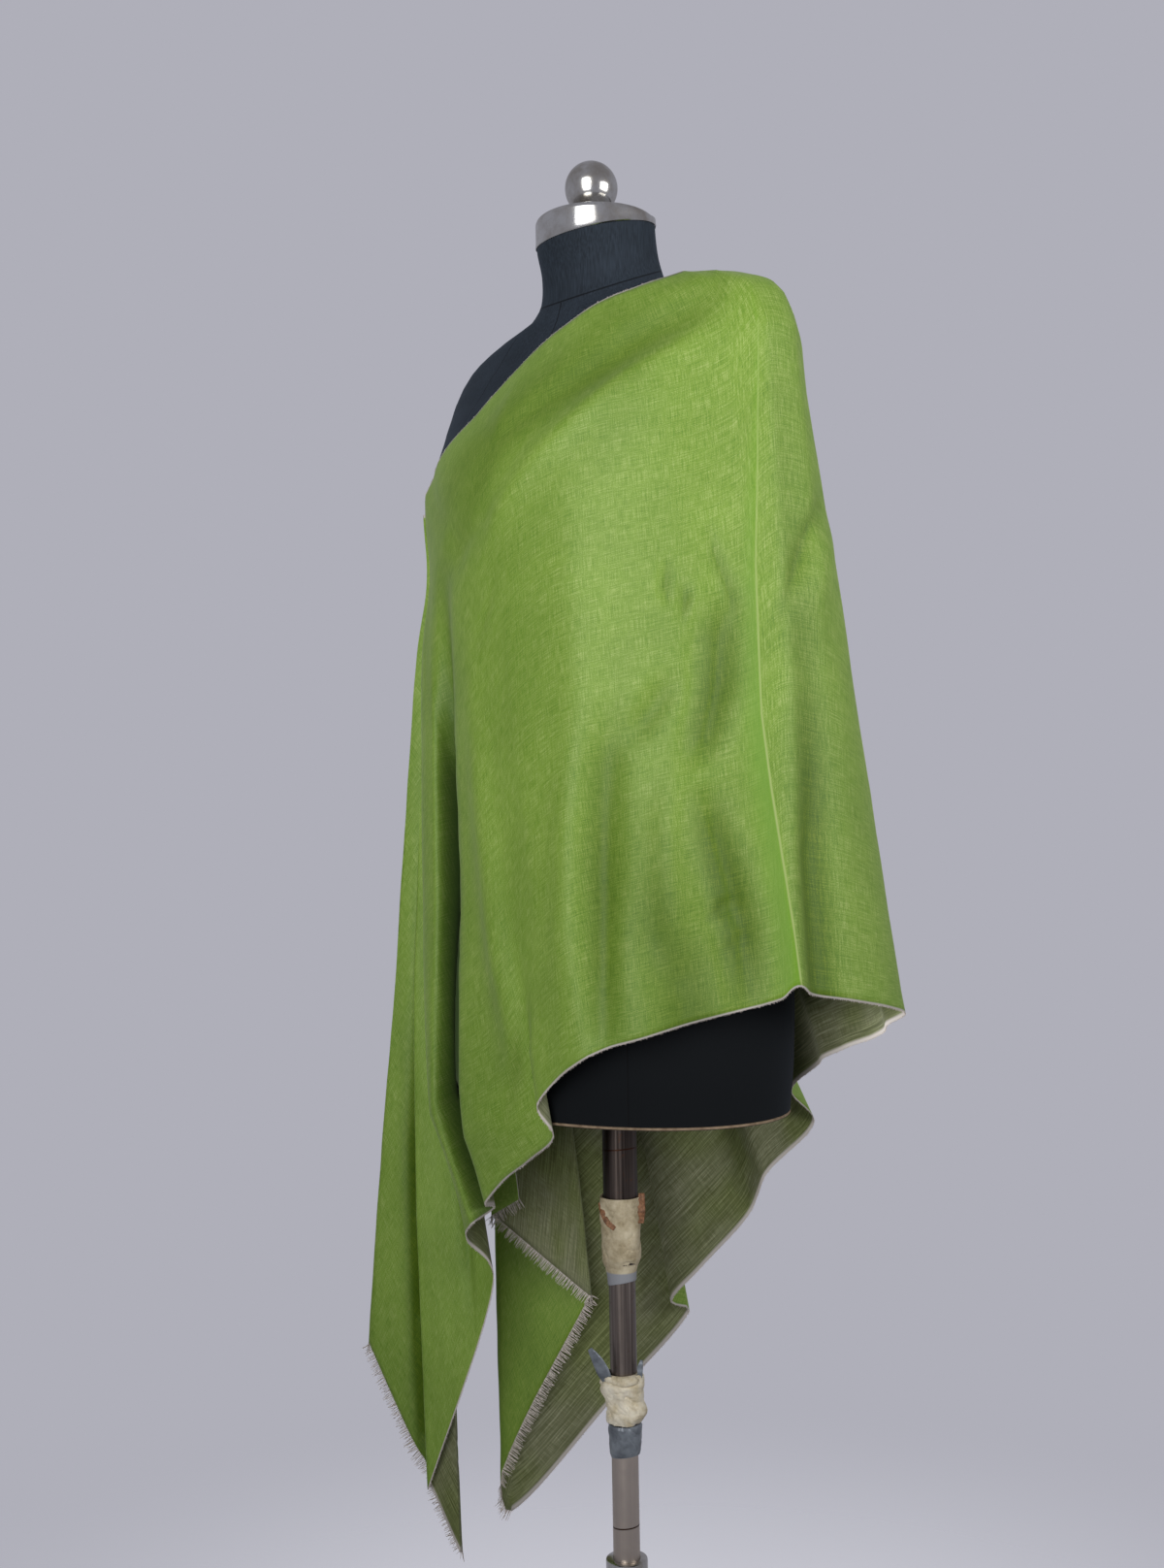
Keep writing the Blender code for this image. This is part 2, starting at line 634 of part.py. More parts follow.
def make_ball(look):
    profile = list(BALL_STEM)
    low = -math.acos(BALL_STEM[-1][0] / BALL_RADIUS)
    for i in range(1, BALL_STEPS):
        angle = low + (math.pi / 2 - low) * i / BALL_STEPS
        profile.append((BALL_RADIUS * math.cos(angle), BALL_CENTRE + BALL_RADIUS * math.sin(angle)))
    add_object("finial_ball", turned(from_board(profile), TUBE_SEGMENTS, (0.0, BALL_FORWARD)), look)


def make_hip_board(look):
    rings = []
    section = form_section(0)
    levels = ((BOARD_THICKNESS, 2 * BOARD_EDGE), (BOARD_THICKNESS - BOARD_EDGE, BOARD_EDGE),
              (SEAM_GAP, BOARD_EDGE))
    for drop, inset in levels:
        ring = [form_point(section, 2 * math.pi * k / FORM_SEGMENTS, -inset) for k in range(FORM_SEGMENTS)]
        rings.append([p - Vector((0, 0, drop)) for p in ring])
    add_object("hip_board", loft(rings), look)


def make_tube(name, radius, low, high, look):
    """A length of tube between two heights over the floor, closed at its ends."""
    add_object(name, turned([(radius, low), (radius, high)], TUBE_SEGMENTS), look)


def make_stand(steel, chrome, tape, duct):
    joint = HIP_HEIGHT + UPPER_TUBE_END
    make_tube("upper_tube", UPPER_TUBE_RADIUS, joint, HIP_HEIGHT - BOARD_THICKNESS - SEAM_GAP, steel)
    make_tube("lower_tube", LOWER_TUBE_RADIUS, HIP_HEIGHT + COLLAR_END, joint - SEAM_GAP, steel)
    make_tube("base_tube", UPPER_TUBE_RADIUS, FOOT_TOP + SEAM_GAP, HIP_HEIGHT + COLLAR_END - SEAM_GAP, chrome)
    wide = UPPER_TUBE_RADIUS + SEAM_GAP
    slim = LOWER_TUBE_RADIUS + SEAM_GAP
    step = UPPER_TUBE_END - SEAM_GAP
    wrap = [*UPPER_WRAP, (slim, WRAP_END), (slim, step), (wide, step), (wide, WRAP_TOP)]
    add_object("tape_wrap_upper", ring_body(from_board(wrap)), tape)
    make_sleeve("tape_wrap_lower", LOWER_WRAP, slim, tape)
    make_sleeve("duct_band", DUCT_BAND, slim, duct)
    make_sleeve("collar", COLLAR, slim, chrome)
    add_object("base_plate", turned(BASE_PROFILE, BASE_SEGMENTS), chrome)


def main():
    clear_scene()
    jersey = material("black_jersey", (0.012, 0.014, 0.018), 0.85)
    wool = material("green_wool", (0.20, 0.35, 0.08), 0.9)
    ends = material("warp_ends", (0.36, 0.32, 0.28), 0.9)
    steel = material("worn_steel", (0.30, 0.28, 0.26), 0.4, 1.0)
    chrome = material("chrome", (0.62, 0.62, 0.62), 0.15, 1.0)
    tape = material("cloth_tape", (0.62, 0.55, 0.40), 0.8)
    duct = material("duct_tape", (0.16, 0.18, 0.20), 0.5)
    board = material("form_board", (0.30, 0.24, 0.17), 0.7)
    make_torso(jersey)
    make_arm_plates(jersey)
    make_hip_board(board)
    make_neck_cap(chrome)
    make_ball(chrome)
    make_stand(steel, chrome, tape, duct)
    ribs = make_cloth(wool)
    corner = TOP_RUN + CLOTH_WIDTH * math.radians(CORNER_ANGLE)
    make_fringe("fringe_back_end", ribs, rib_number(ribs, -corner), 0, ends)
    make_fringe("fringe_front_end", ribs, rib_number(ribs, corner), len(ribs) - 1, ends)


if __name__ == "__main__":
    main()
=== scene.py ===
import math
import random

import bmesh
import bpy
from mathutils import Matrix, Vector, noise
from mathutils.bvhtree import BVHTree


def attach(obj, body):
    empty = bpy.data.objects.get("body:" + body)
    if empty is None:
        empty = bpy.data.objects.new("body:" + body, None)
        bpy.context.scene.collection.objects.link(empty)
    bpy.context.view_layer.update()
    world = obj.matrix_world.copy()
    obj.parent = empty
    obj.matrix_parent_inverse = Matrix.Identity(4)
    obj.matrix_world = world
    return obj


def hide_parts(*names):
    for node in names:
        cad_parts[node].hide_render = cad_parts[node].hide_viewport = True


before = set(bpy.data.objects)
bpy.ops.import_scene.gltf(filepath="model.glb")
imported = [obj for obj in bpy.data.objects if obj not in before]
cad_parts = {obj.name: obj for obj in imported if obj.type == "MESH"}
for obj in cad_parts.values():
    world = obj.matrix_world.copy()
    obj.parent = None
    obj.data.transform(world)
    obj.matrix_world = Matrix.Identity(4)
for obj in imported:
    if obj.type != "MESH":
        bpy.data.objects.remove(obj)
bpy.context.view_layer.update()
print("frame loaded")

hipHeight = 0.80  # the hip board over the floor; the form's and the cloth's heights start there


def metres(rows):
    return [tuple(value / 1000 for value in row) for row in rows]


def linear(hexColour):
    values = [int(hexColour[i:i + 2], 16) / 255 for i in (1, 3, 5)]
    values = [v / 12.92 if v <= 0.04045 else ((v + 0.055) / 1.055) ** 2.4 for v in values]
    return (*values, 1.0)


def addNode(tree, kind, settings, out=0):
    # a setting is a value of the node or of its input, or another node's output to link to that input
    node = tree.nodes.new("ShaderNode" + kind)
    for name, value in settings.items():
        if isinstance(value, str) and value.startswith("#"):
            value = linear(value)
        if isinstance(value, bpy.types.NodeSocket):
            tree.links.new(value, node.inputs[name])
        elif name == "stops":  # of a colour ramp
            stops = node.color_ramp.elements
            while len(stops) < len(value):
                stops.new(0.5)
            for stop, (position, colour) in zip(stops, value):
                stop.position, stop.color = position, linear(colour)
        elif isinstance(name, str) and hasattr(node, name):
            setattr(node, name, value)
        else:
            node.inputs[name].default_value = value
    return node.outputs[out] if node.outputs else node


def startMaterial(name, *place):
    # place is the node that gives the coordinates, the object's own where none is named
    material = bpy.data.materials.new(name)
    material.use_nodes = True
    tree = material.node_tree
    tree.nodes.clear()
    return material, tree, addNode(tree, *(place or ("TexCoord", {}, "Object")))


def finishMaterial(material, settings):
    shader = addNode(material.node_tree, "BsdfPrincipled", settings)
    addNode(material.node_tree, "OutputMaterial", {"Surface": shader})
    return material


def grained(tree, place, stops, scale, detail, roughness=0.5):
    # a noise, and the shades that it runs through
    grain = addNode(tree, "TexNoise", {"Vector": place, "Scale": scale, "Detail": detail,
                                       "Roughness": roughness})
    return grain, addNode(tree, "ValToRGB", {"Fac": grain, "stops": stops})


def addPiece(name, bm, materials, smoothAngle=60, replaced=()):
    mesh = bpy.data.meshes.new(name)
    bm.to_mesh(mesh)
    bm.free()
    mesh.shade_smooth()
    mesh.set_sharp_from_angle(angle=math.radians(smoothAngle))
    for material in materials:
        mesh.materials.append(material)
    piece = bpy.data.objects.new(name, mesh)
    bpy.context.scene.collection.objects.link(piece)
    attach(piece, "root")
    if replaced:
        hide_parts(*replaced)
    return piece


def thicken(piece, thickness):
    wall = piece.modifiers.new("wall", "SOLIDIFY")
    wall.thickness, wall.offset = thickness, 0
    return wall


def closeEnds(bm):
    bmesh.ops.holes_fill(bm, edges=[e for e in bm.edges if e.is_boundary], sides=0)
    bmesh.ops.recalc_face_normals(bm, faces=bm.faces)


def mappedGrid(columns, rows, pointAt, flatAt=None, closed=False):
    # a flat grid whose vertices are moved to pointAt(column, row), row 0 at the top; columns run
    # anticlockwise seen from above, so its cells face out
    bm = bmesh.new()
    bmesh.ops.create_grid(bm, x_segments=columns, y_segments=rows, size=0.5)
    places = [(round((v.co.x + 0.5) * columns), round((0.5 - v.co.y) * rows)) for v in bm.verts]
    if flatAt:
        uv = bm.loops.layers.uv.new("cloth")
        for face in bm.faces:
            for loop in face.loops:
                loop[uv].uv = flatAt(*places[loop.vert.index])
    for vert, place in zip(bm.verts, places):
        vert.co = pointAt(*place)
    if closed:
        bmesh.ops.remove_doubles(bm, verts=bm.verts, dist=0.00002)
    return bm


def addTurned(name, profile, look, replaced, segments=96, forward=0.0):
    # profile is (radius, height over the hip board) pairs; a radius of 0 closes an end
    bm = bmesh.new()
    line = [bm.verts.new((radius, forward, hipHeight + height)) for radius, height in profile]
    edges = [bm.edges.new(pair) for pair in zip(line, line[1:])]
    bmesh.ops.spin(bm, geom=line + edges, cent=(0, forward, 0), axis=(0, 0, 1), angle=2 * math.pi,
                   steps=segments, use_merge=True)
    bmesh.ops.remove_doubles(bm, verts=bm.verts, dist=0.00002)
    bmesh.ops.recalc_face_normals(bm, faces=bm.faces)
    addPiece(name, bm, [look], 35, [replaced])


# the dress form's shape, which the cloth needs too
formShape = {
    "lean": 3.0,  # degrees that the shoulders hang lower on the form's right
    "leanFullAt": 0.69,
    "armPlane": 0.1860,
    "plateReach": 0.1903,
    "plateHeight": 0.634,
    "plateHalfHeight": 0.030,
    "plateHalfBreadth": 0.026,
}
# height, half width, depth to the front and to the back, centre forward (-), all in mm; slope in degrees
formColumns = ("height", "halfWidth", "front", "back", "centre", "slope")
formRows = [
    (0, 172, 122, 122, 0, 0),
    (40, 175, 123, 127, 0, 0),
    (110, 175, 120, 131, 0, 0),
    (190, 164, 112, 122, 0, 0),
    (280, 140, 102, 100, 0, 0),
    (350, 126, 100, 88, 0, 0),
    (420, 132, 112, 92, 0, 0),
    (490, 150, 134, 104, 0, 0),
    (540, 166, 142, 112, 0, 0),
    (590, 184, 130, 116, 0, 0),
    (636, 190, 101, 110, 2, 0),
    (664, 186, 84, 98, 2, 0),
    (681, 179, 74, 86, 2, 0),
    (694, 167, 68, 79, 2, 0),
    (702, 151, 64, 75, 2, 1),
    (709, 124, 61, 71, 1, 2),
    (717, 84, 57.5, 67, 0, 4),
    (732, 61, 54, 61, -2, 6),
    (758, 53.5, 52.5, 55, -6, 9),
    (786, 54, 54, 54, -11, 12),
]
formRows = [[value / 1000 for value in row[:5]] + [row[5]] for row in formRows]


def spline(a, b, c, d, t):
    return 0.5 * (2 * b + (c - a) * t + (2 * a - 5 * b + 4 * c - d) * t * t
                  + (3 * b - a - 3 * c + d) * t ** 3)


def formSection(height):
    heights = [row[0] for row in formRows]
    height = min(max(height, heights[0]), heights[-1])
    low = max(i for i in range(len(heights) - 1) if heights[i] <= height)
    share = (height - heights[low]) / (heights[low + 1] - heights[low])
    rows = [formRows[min(max(low + k, 0), len(formRows) - 1)] for k in (-1, 0, 1, 2)]
    values = [spline(*column, share) for column in zip(*rows)]
    return dict(zip(formColumns, [height] + values[1:]))


def leanRise(x, height):
    lean = math.tan(math.radians(formShape["lean"]))
    return x * lean * min(max(height, 0) / formShape["leanFullAt"], 1)


def formPoint(section, angle, grow=0.0):
    side = math.sin(angle)
    depth = section["front"] if side < 0 else section["back"]
    x = (section["halfWidth"] + grow) * math.cos(angle)
    y = (depth + grow) * side
    z = hipHeight + section["height"] + y * math.tan(math.radians(section["slope"]))
    return Vector((x, y + section["centre"], z + leanRise(x, section["height"])))


def formReach(height, angle):
    # how far the form reaches from the pole's line at a height and an angle
    if height < 0:
        return 0.0
    section = formSection(height)
    section = formSection(height - leanRise(section["halfWidth"] * math.cos(angle), height))
    depth = section["front"] if math.sin(angle) < 0 else section["back"]
    reach = 1 / math.hypot(math.cos(angle) / section["halfWidth"], math.sin(angle) / depth)
    reach += abs(section["centre"])
    middle = formShape["plateHeight"] + leanRise(formShape["armPlane"] * math.cos(angle), height)
    rise = (height - middle) / formShape["plateHalfHeight"]
    if abs(rise) < 1:
        breadth = formShape["plateHalfBreadth"] * math.sqrt(1 - rise * rise)
        if abs(math.tan(angle)) * formShape["plateReach"] < breadth:
            reach = max(reach, formShape["plateReach"] / abs(math.cos(angle)))
    return reach


# the stole: one oblong of cloth, hung as ribs that run from its top edge to its hem
stole = {
    "width": 0.68,
    "length": 2.25,
    "biasStretch": 0.05,   # how much the weave lengthens where it hangs on the bias
    "topRun": 0.44,        # cloth along the top edge between the shoulder and the underarm pin
    "gatherAlong": 0.20,
    "gatherAcross": 0.55,
    "turn": 0.0035,        # radius of a folded edge in the cascades, and the cloth round it
    "turnRun": 0.009,
    "sharpTurn": 30,
    "cornerAngle": 45.2,   # where the fan of folds passes from the hem to the short edge
    "cell": 0.0085,        # size of the mesh's cells
    "fineCells": [(-0.045, 0.028, 0.0024), (0.028, 0.085, 0.0036),  # round the arris
                  (0.36, 0.50, 0.0028)],  # in the deep valley
    "rows": 104,
    "eased": (0.235, 0.385), "easedTo": 0.92,  # the chest's last fold, and how far down it is smoothed
    "thickness": 0.0008,
    "clear": 0.0022,       # least distance to the form
}
# all in mm, but slack in thousandths of the cloth's width
ribColumns = ("along", "topX", "topY", "topHeight", "footX", "footY", "clear", "slack")
frontRibs = [
    (10, 98, -10, 730, 242, -30, 10, -10),
    (20, 95, -18, 727, 235, -45, 10, 32),
    (30, 90, -26, 722, 225, -53, 9, 55),
    (75, 69, -46, 709.5, 185, -92, 6, 70),
    (135, 45, -62, 699.5, 142, -124, 5, 60),
    (200, 10, -72, 680, 97, -141, 5, 63),
    (275, -26, -87, 648.5, 35, -143, 5, 50),
    (315, -60, -100, 619, 34, -118, 6, 51),
    (355, -104, -104, 580, -3, -115, 7, 72),
    (400, -156, -78, 568, -40, -112, 14, 50),
]
backRibs = [
    (10, 98, -10, 730, 242, -30, 10, -10),
    (-10, 104, 10, 732, 247, 12, 11, -20),
    (-50, 92, 42, 726, 250, 66, 10, 10),
    (-100, 45, 68, 714, 238, 112, 6, 18),
    (-160, -5, 84, 696, 190, 150, 5, 0),
    (-220, -55, 98, 668, 135, 172, 5, 15),
    (-290, -110, 104, 636, 85, 192, 5, 25),
    (-370, -150, 94, 606, 44, 207, 8, 20),
]
frontRibs, backRibs = metres(frontRibs), metres(backRibs)
# the cascades' ribs fan out from a pin under the right arm, each at its angle in the cloth
fanColumns = ("angle", "footX", "footY", "clear", "bow")
frontPin = {"x": -0.215, "y": 0.000, "height": 0.562, "foldsRun": 195, "stackedFrom": 0}
frontFan = [
    (4.0, -0.097, -0.100, 0.032, 0.000),
    (12.0, -0.134, -0.074, 0.020, 0.000),
    (22.0, -0.139, -0.036, 0.008, 0.000),
    (41.5, -0.202, -0.061, 0.006, 0.020),
    (45.2, -0.180, -0.041, 0.006, 0.008),
    (59.5, -0.278, -0.068, 0.006, 0.000),
    (70.0, -0.222, -0.030, 0.006, 0.000),
    (90.0, -0.268, -0.022, 0.006, 0.000),
]
backPin = {"x": -0.205, "y": 0.040, "height": 0.566, "foldsRun": 223, "stackedFrom": 40}
backFan = [
    (3.0, 0.037, 0.255, 0.030, 0.000),
    (14.0, 0.012, 0.205, 0.028, 0.000),
    (21.0, -0.011, 0.205, 0.028, 0.000),
    (26.0, -0.035, 0.155, 0.026, 0.000),
    (29.5, -0.065, 0.145, 0.026, 0.000),
    (31.5, -0.066, 0.176, 0.026, 0.000),
    (38.5, -0.128, 0.120, 0.024, 0.000),
    (45.2, -0.202, 0.050, 0.022, 0.000),
    (48.0, -0.198, 0.033, 0.018, 0.000),
    (63.5, -0.118, 0.083, 0.012, 0.000),
    (80.0, -0.180, 0.008, 0.007, 0.000),
    (90.0, -0.155, 0.022, 0.006, 0.000),
]


def taut(profile):
    # the upper hull of (drop, reach) pairs, as a pulled cloth spans a hollow
    hull = []
    for point in profile:
        while len(hull) > 1:
            (x0, y0), (x1, y1) = hull[-2:]
            if (x1 - x0) * (point[1] - y0) < (point[0] - x0) * (y1 - y0):
                break
            hull.pop()
        hull.append(point)
    return hull


def ribPath(top, foot, clear, footHeight, bow):
    steps = 60
    turnTop = math.atan2(top[1], top[0])
    turn = math.atan2(foot[1], foot[0]) - turnTop
    turn = (turn + math.pi) % (2 * math.pi) - math.pi
    drop = top[2] - footHeight
    profile = []
    for i in range(steps + 1):
        share = i / steps
        height = top[2] - drop * share
        reach = 0.0
        if height > -0.012:
            reach = formReach(max(height - clear, 0), turnTop + turn * share) + clear
        if i == 0:
            reach = max(reach, math.hypot(top[0], top[1]))
        if i == steps:
            reach = max(reach, math.hypot(foot[0], foot[1]))
        profile.append((share, reach))
    hull = taut(profile)
    path = []
    for share, reach in profile:
        k = max(i for i in range(len(hull) - 1) if hull[i][0] <= share)
        (x0, y0), (x1, y1) = hull[k:k + 2]
        reach = y0 + (y1 - y0) * (share - x0) / (x1 - x0) + bow * math.sin(math.pi * share)
        angle = turnTop + turn * share
        path.append(Vector((reach * math.cos(angle), reach * math.sin(angle),
                            hipHeight + top[2] - drop * share)))
    return path


def pathLength(path):
    return sum((b - a).length for a, b in zip(path, path[1:]))


def ribPoints(top, foot, clear, length, bow=0.0):
    # the rib's foot drops until the rib is as long as the cloth there
    high, low = top[2] - 0.2 * length, top[2] - length
    for _ in range(18):
        middle = (high + low) / 2
        if pathLength(ribPath(top, foot, clear, middle, bow)) < length:
            high = middle
        else:
            low = middle
    path = ribPath(top, foot, clear, low, bow)
    total = pathLength(path)
    points = []
    walked, k = 0.0, 0
    for row in range(stole["rows"] + 1):
        target = total * row / stole["rows"]
        while k < len(path) - 2 and walked + (path[k + 1] - path[k]).length < target:
            walked += (path[k + 1] - path[k]).length
            k += 1
        points.append(path[k].lerp(path[k + 1], (target - walked) / (path[k + 1] - path[k]).length))
    return points


def fanRun(angle):
    # flat cloth between the pin and the edge, at an angle in radians
    toHem = stole["width"] / max(math.cos(angle), 0.01)
    toEnd = (stole["length"] / 2 - stole["topRun"]) / max(math.sin(angle), 0.01)
    return min(toHem, toEnd)


def panelRibs(rows):
    made = []
    for row in rows:
        at = dict(zip(ribColumns, row))
        top = (at["topX"], at["topY"], at["topHeight"])
        length = stole["width"] * (1 - at["slack"])
        points = ribPoints(top, (at["footX"], at["footY"]), at["clear"], length)
        made.append((abs(at["along"] - frontRibs[0][0]), points))
    return made


def fanRibs(rows, pin):
    made = []
    run = math.radians(pin["foldsRun"])
    along = Vector((math.cos(run), math.sin(run)))
    across = Vector((-along.y, along.x))
    for row in rows:
        at = dict(zip(fanColumns, row))
        foot = Vector((at["footX"], at["footY"]))
        spread = foot - Vector((pin["x"], pin["y"]))
        depth = stole["gatherAcross"] if at["angle"] > pin["stackedFrom"] else stole["gatherAlong"]
        top = (foot - spread + along * stole["gatherAlong"] * spread.dot(along)
               + across * depth * spread.dot(across))
        angle = math.radians(at["angle"])
        length = fanRun(angle) * (1 + stole["biasStretch"] * math.sin(2 * angle) ** 2)
        points = ribPoints((top.x, top.y, pin["height"]), foot, at["clear"], length, at["bow"])
        made.append((stole["topRun"] + stole["width"] * angle, points))
    return made


def roundedTurns(ribs):
    # a sharp fold gets two ribs, a radius apart; a corner keeps its own too
    made = [ribs[0]]
    corner = stole["topRun"] + stole["width"] * math.radians(stole["cornerAngle"])
    for before, here, after in zip(ribs, ribs[1:], ribs[2:]):
        toBefore = (before[1][-1] - here[1][-1]).to_2d().normalized()
        toAfter = (after[1][-1] - here[1][-1]).to_2d().normalized()
        if math.degrees(toBefore.angle(toAfter)) > stole["sharpTurn"]:
            made.append(here)
            continue
        way = (toAfter - toBefore).normalized() * stole["turn"]
        for side in (-1, 0, 1):
            if side != 0 or abs(abs(here[0]) - corner) < stole["turnRun"] / 2:
                shift = Vector((way.x, way.y, 0)) * side
                made.append((here[0] + side * stole["turnRun"] / 2, [point + shift for point in here[1]]))
    made.append(ribs[-1])
    return made


def ribColumn(ribs, place):
    # the column of points at a place counted in ribs, rounded from rib to rib
    k = min(int(place), len(ribs) - 2)
    share = place - k
    before, here, there, after = (ribs[min(max(k + i, 0), len(ribs) - 1)] for i in (-1, 0, 1, 2))
    span = there[0] - here[0]
    cubic, square = share ** 3, share ** 2
    column = []
    for a, b, c, d in zip(before[1], here[1], there[1], after[1]):
        slopeHere = (c - a) * (span / (there[0] - before[0]))
        slopeThere = (d - b) * (span / (after[0] - here[0]))
        column.append((2 * cubic - 3 * square + 1) * b + (cubic - 2 * square + share) * slopeHere
                      + (3 * square - 2 * cubic) * c + (cubic - square) * slopeThere)
    return column, here[0] + span * share


def flatPoint(along, share):
    # where a point lies in the flat cloth: along it from the shoulder, down from its top edge
    beyond = abs(along) - stole["topRun"]
    if beyond <= 0:
        return along, share * stole["width"]
    angle = min(beyond / stole["width"], math.pi / 2)
    run = fanRun(angle) * share
    return math.copysign(stole["topRun"] + run * math.sin(angle), along), run * math.cos(angle)


# troughs (depth under 0) and ridges: half width, how sharp (2 is soft, 1 is an arris), and the path in the
# flat cloth as (along, down, depth), all in millimetres
creases = [
    # the arris down the left arm, and the trough behind it
    (6, 1, [(4, 100, 0), (7, 166, 1.8), (11, 243, 2.4), (15, 314, 2.6), (18, 438, 3), (16, 504, 3.4),
        (13, 570, 3.6), (10, 634, 4), (8, 680, 4)]),
    (9.5, 2, [(-6, 140, 0), (-5, 300, -2.5), (-9, 430, -4.5), (-9, 500, -8.5), (-6, 570, -11.5),
        (-6, 680, -12)]),
    # pinched from the arm's contour to the arris
    (3, 1, [(-40, 235, 0), (-33, 256, -4), (-14, 298, -5.6), (-5, 337, -5), (7, 385, 0)]),
    (10, 2, [(-52, 260, 0), (-28, 310, 4), (-14, 350, 3.6), (-4, 400, 0)]),
    # pulled from the shoulder across the chest
    (23, 2, [(4, 40, 0), (40, 56, -6), (85, 66, -8.5), (130, 86, -8.5), (190, 110, -7.5), (250, 124, -7.5),
        (300, 130, -6), (340, 120, 0)]),
    (12, 2, [(14, 78, 0), (50, 92, 3.4), (90, 104, 4), (130, 126, 4.6), (165, 148, 4.2), (215, 170, 3),
        (280, 190, 0)]),
    (3.5, 1.3, [(62, 102, 0), (80, 107, -1.6), (110, 121, -1.4), (128, 130, 0)]),
    # the soft upright edge where the front turns, and the trough right of it
    (22, 2, [(146, 150, 0), (152, 250, 4), (158, 400, 6), (178, 480, 8), (200, 580, 9), (210, 680, 6)]),
    (19, 2, [(134, 380, 0), (142, 440, -9), (152, 500, -13), (160, 560, -14), (168, 610, -13),
        (174, 660, -7)]),
    (7, 1.3, [(180, 560, 0), (188, 605, 3.8), (192, 680, 5)]),
    # small hard creases left by folding
    (3, 1.3, [(42, 255, 0), (39, 284, -3.6), (33, 313, -4.6), (26, 352, 0)]),
    (4, 2, [(70, 276, 0), (75, 300, -4.6), (70, 322, 0)]),
    (5, 2, [(66, 298, 0), (59, 318, -4.4), (64, 338, 0)]),
    (3.5, 1.3, [(46, 306, 0), (55, 322, 3.8), (62, 340, 0)]),
    # hollows of the middle
    (13, 2, [(32, 315, 0), (40, 355, -10), (44, 400, -13), (54, 440, -11), (62, 475, 0)]),
    (14, 2, [(66, 375, 0), (86, 395, -6), (104, 414, -6), (126, 430, 0)]),
    (18, 2, [(74, 450, 0), (84, 500, 7), (92, 580, 7), (96, 650, 3)]),
    (12, 2, [(60, 470, 0), (54, 520, -10), (46, 575, -13), (42, 620, -13), (41, 672, -6)]),
    (4, 1.3, [(66, 596, 0), (52, 590, -6), (36, 584, 0)]),
    (4, 2, [(36, 600, 0), (46, 612, 3), (60, 616, 0)]),
    (26, 2, [(110, 540, 0), (104, 600, -9), (94, 640, -13), (88, 690, -13)]),
    # chest side
    (22, 2, [(300, 200, 0), (312, 350, 6), (318, 500, 11), (320, 580, 9), (322, 650, 0)]),
    (6, 2, [(235, 215, 0), (262, 235, -1.6), (300, 246, 0)]),
    (8, 2, [(300, 560, 0), (325, 600, -2.4), (372, 650, 0)]),
    # behind the front cascade's left fold
    (12, 2, [(640, 165, 0), (780, 262, -9), (910, 356, -12), (1066, 500, -12), (1150, 580, -4)]),
    (14, 2, [(560, 220, 0), (640, 400, -6), (760, 600, -6), (800, 660, 0)]),
    # the arm side and the back
    (80, 2, [(-60, 160, 0), (-90, 320, 8), (-110, 480, 8), (-120, 660, 0)]),
    (18, 2, [(-100, 180, 0), (-128, 360, -8), (-136, 520, -11), (-140, 680, -10)]),
    (14, 2, [(-60, 80, 0), (-110, 105, -4), (-180, 120, -4), (-250, 135, 0)]),
    (14, 2, [(-50, 112, 0), (-110, 132, 3.5), (-180, 150, 3.5), (-250, 160, 0)]),
    (20, 2, [(-184, 260, 0), (-190, 420, 7), (-198, 580, 8), (-204, 680, 5)]),
    (17, 2, [(-232, 200, 0), (-250, 380, -8), (-262, 560, -10), (-268, 680, -7)]),
    (3.2, 1.3, [(-150, 270, 0), (-160, 300, -2.8), (-172, 340, 0)]),
    (4, 2, [(-222, 170, 0), (-208, 206, 2.6), (-190, 236, 0)]),
    (13, 2, [(-160, 430, 0), (-172, 470, -6), (-192, 500, -5), (-220, 520, 0)]),
    (9, 2, [(-310, 300, 0), (-322, 420, -5), (-338, 540, 0)]),
]
# the same, but pushed one way (x, y) whatever way the cloth faces, as where it is tucked in or held
pushes = [
    # the deep valley beside the chest
    ((-0.3, 0.95), 16.5, 2.4, [(340, 100, 0), (362, 200, 18), (383, 300, 48), (400, 413, 62), (428, 530, 58),
        (455, 640, 46), (468, 680, 34)]),
    # nipped in under the arm
    ((0.95, 0.3), 50, 2, [(370, 40, 0), (420, 80, 7), (465, 70, 9), (500, 20, 9)]),
    ((0.95, 0.3), 260, 2, [(640, 60, 5), (660, 620, 5)]),
]
# painted shade, where the green is drawn darker and fuller: as troughs but with a share in thousandths for
# depth
paintedShades = [
    (40, 2, [(40, 30, 150), (80, 46, 420), (130, 64, 480), (190, 76, 550), (243, 82, 650),
        (300, 72, 550), (350, 60, 200)]),
    (50, 2, [(70, 450, 0), (88, 520, 300), (92, 680, 350)]),
    (15, 2, [(830, 258, 0), (901, 327, 500), (959, 382, 800), (1062, 482, 850), (1115, 535, 700)]),
    (120, 2, [(-1050, 200, 200), (-1108, 456, 550), (-1100, 640, 550)]),
]
creases, pushes, paintedShades = ([(*way, halfWidth / 1000, power, metres(path))
                             for *way, halfWidth, power, path in rows]
                            for rows in (creases, pushes, paintedShades))


def creaseBounds(rows):
    bounds = []
    for *_, halfWidth, power, path in rows:
        reach = halfWidth * (4.5 if power < 1.5 else 2.4)
        bounds.append((min(p[0] for p in path) - reach, max(p[0] for p in path) + reach,
                       min(p[1] for p in path) - reach, max(p[1] for p in path) + reach))
    return bounds


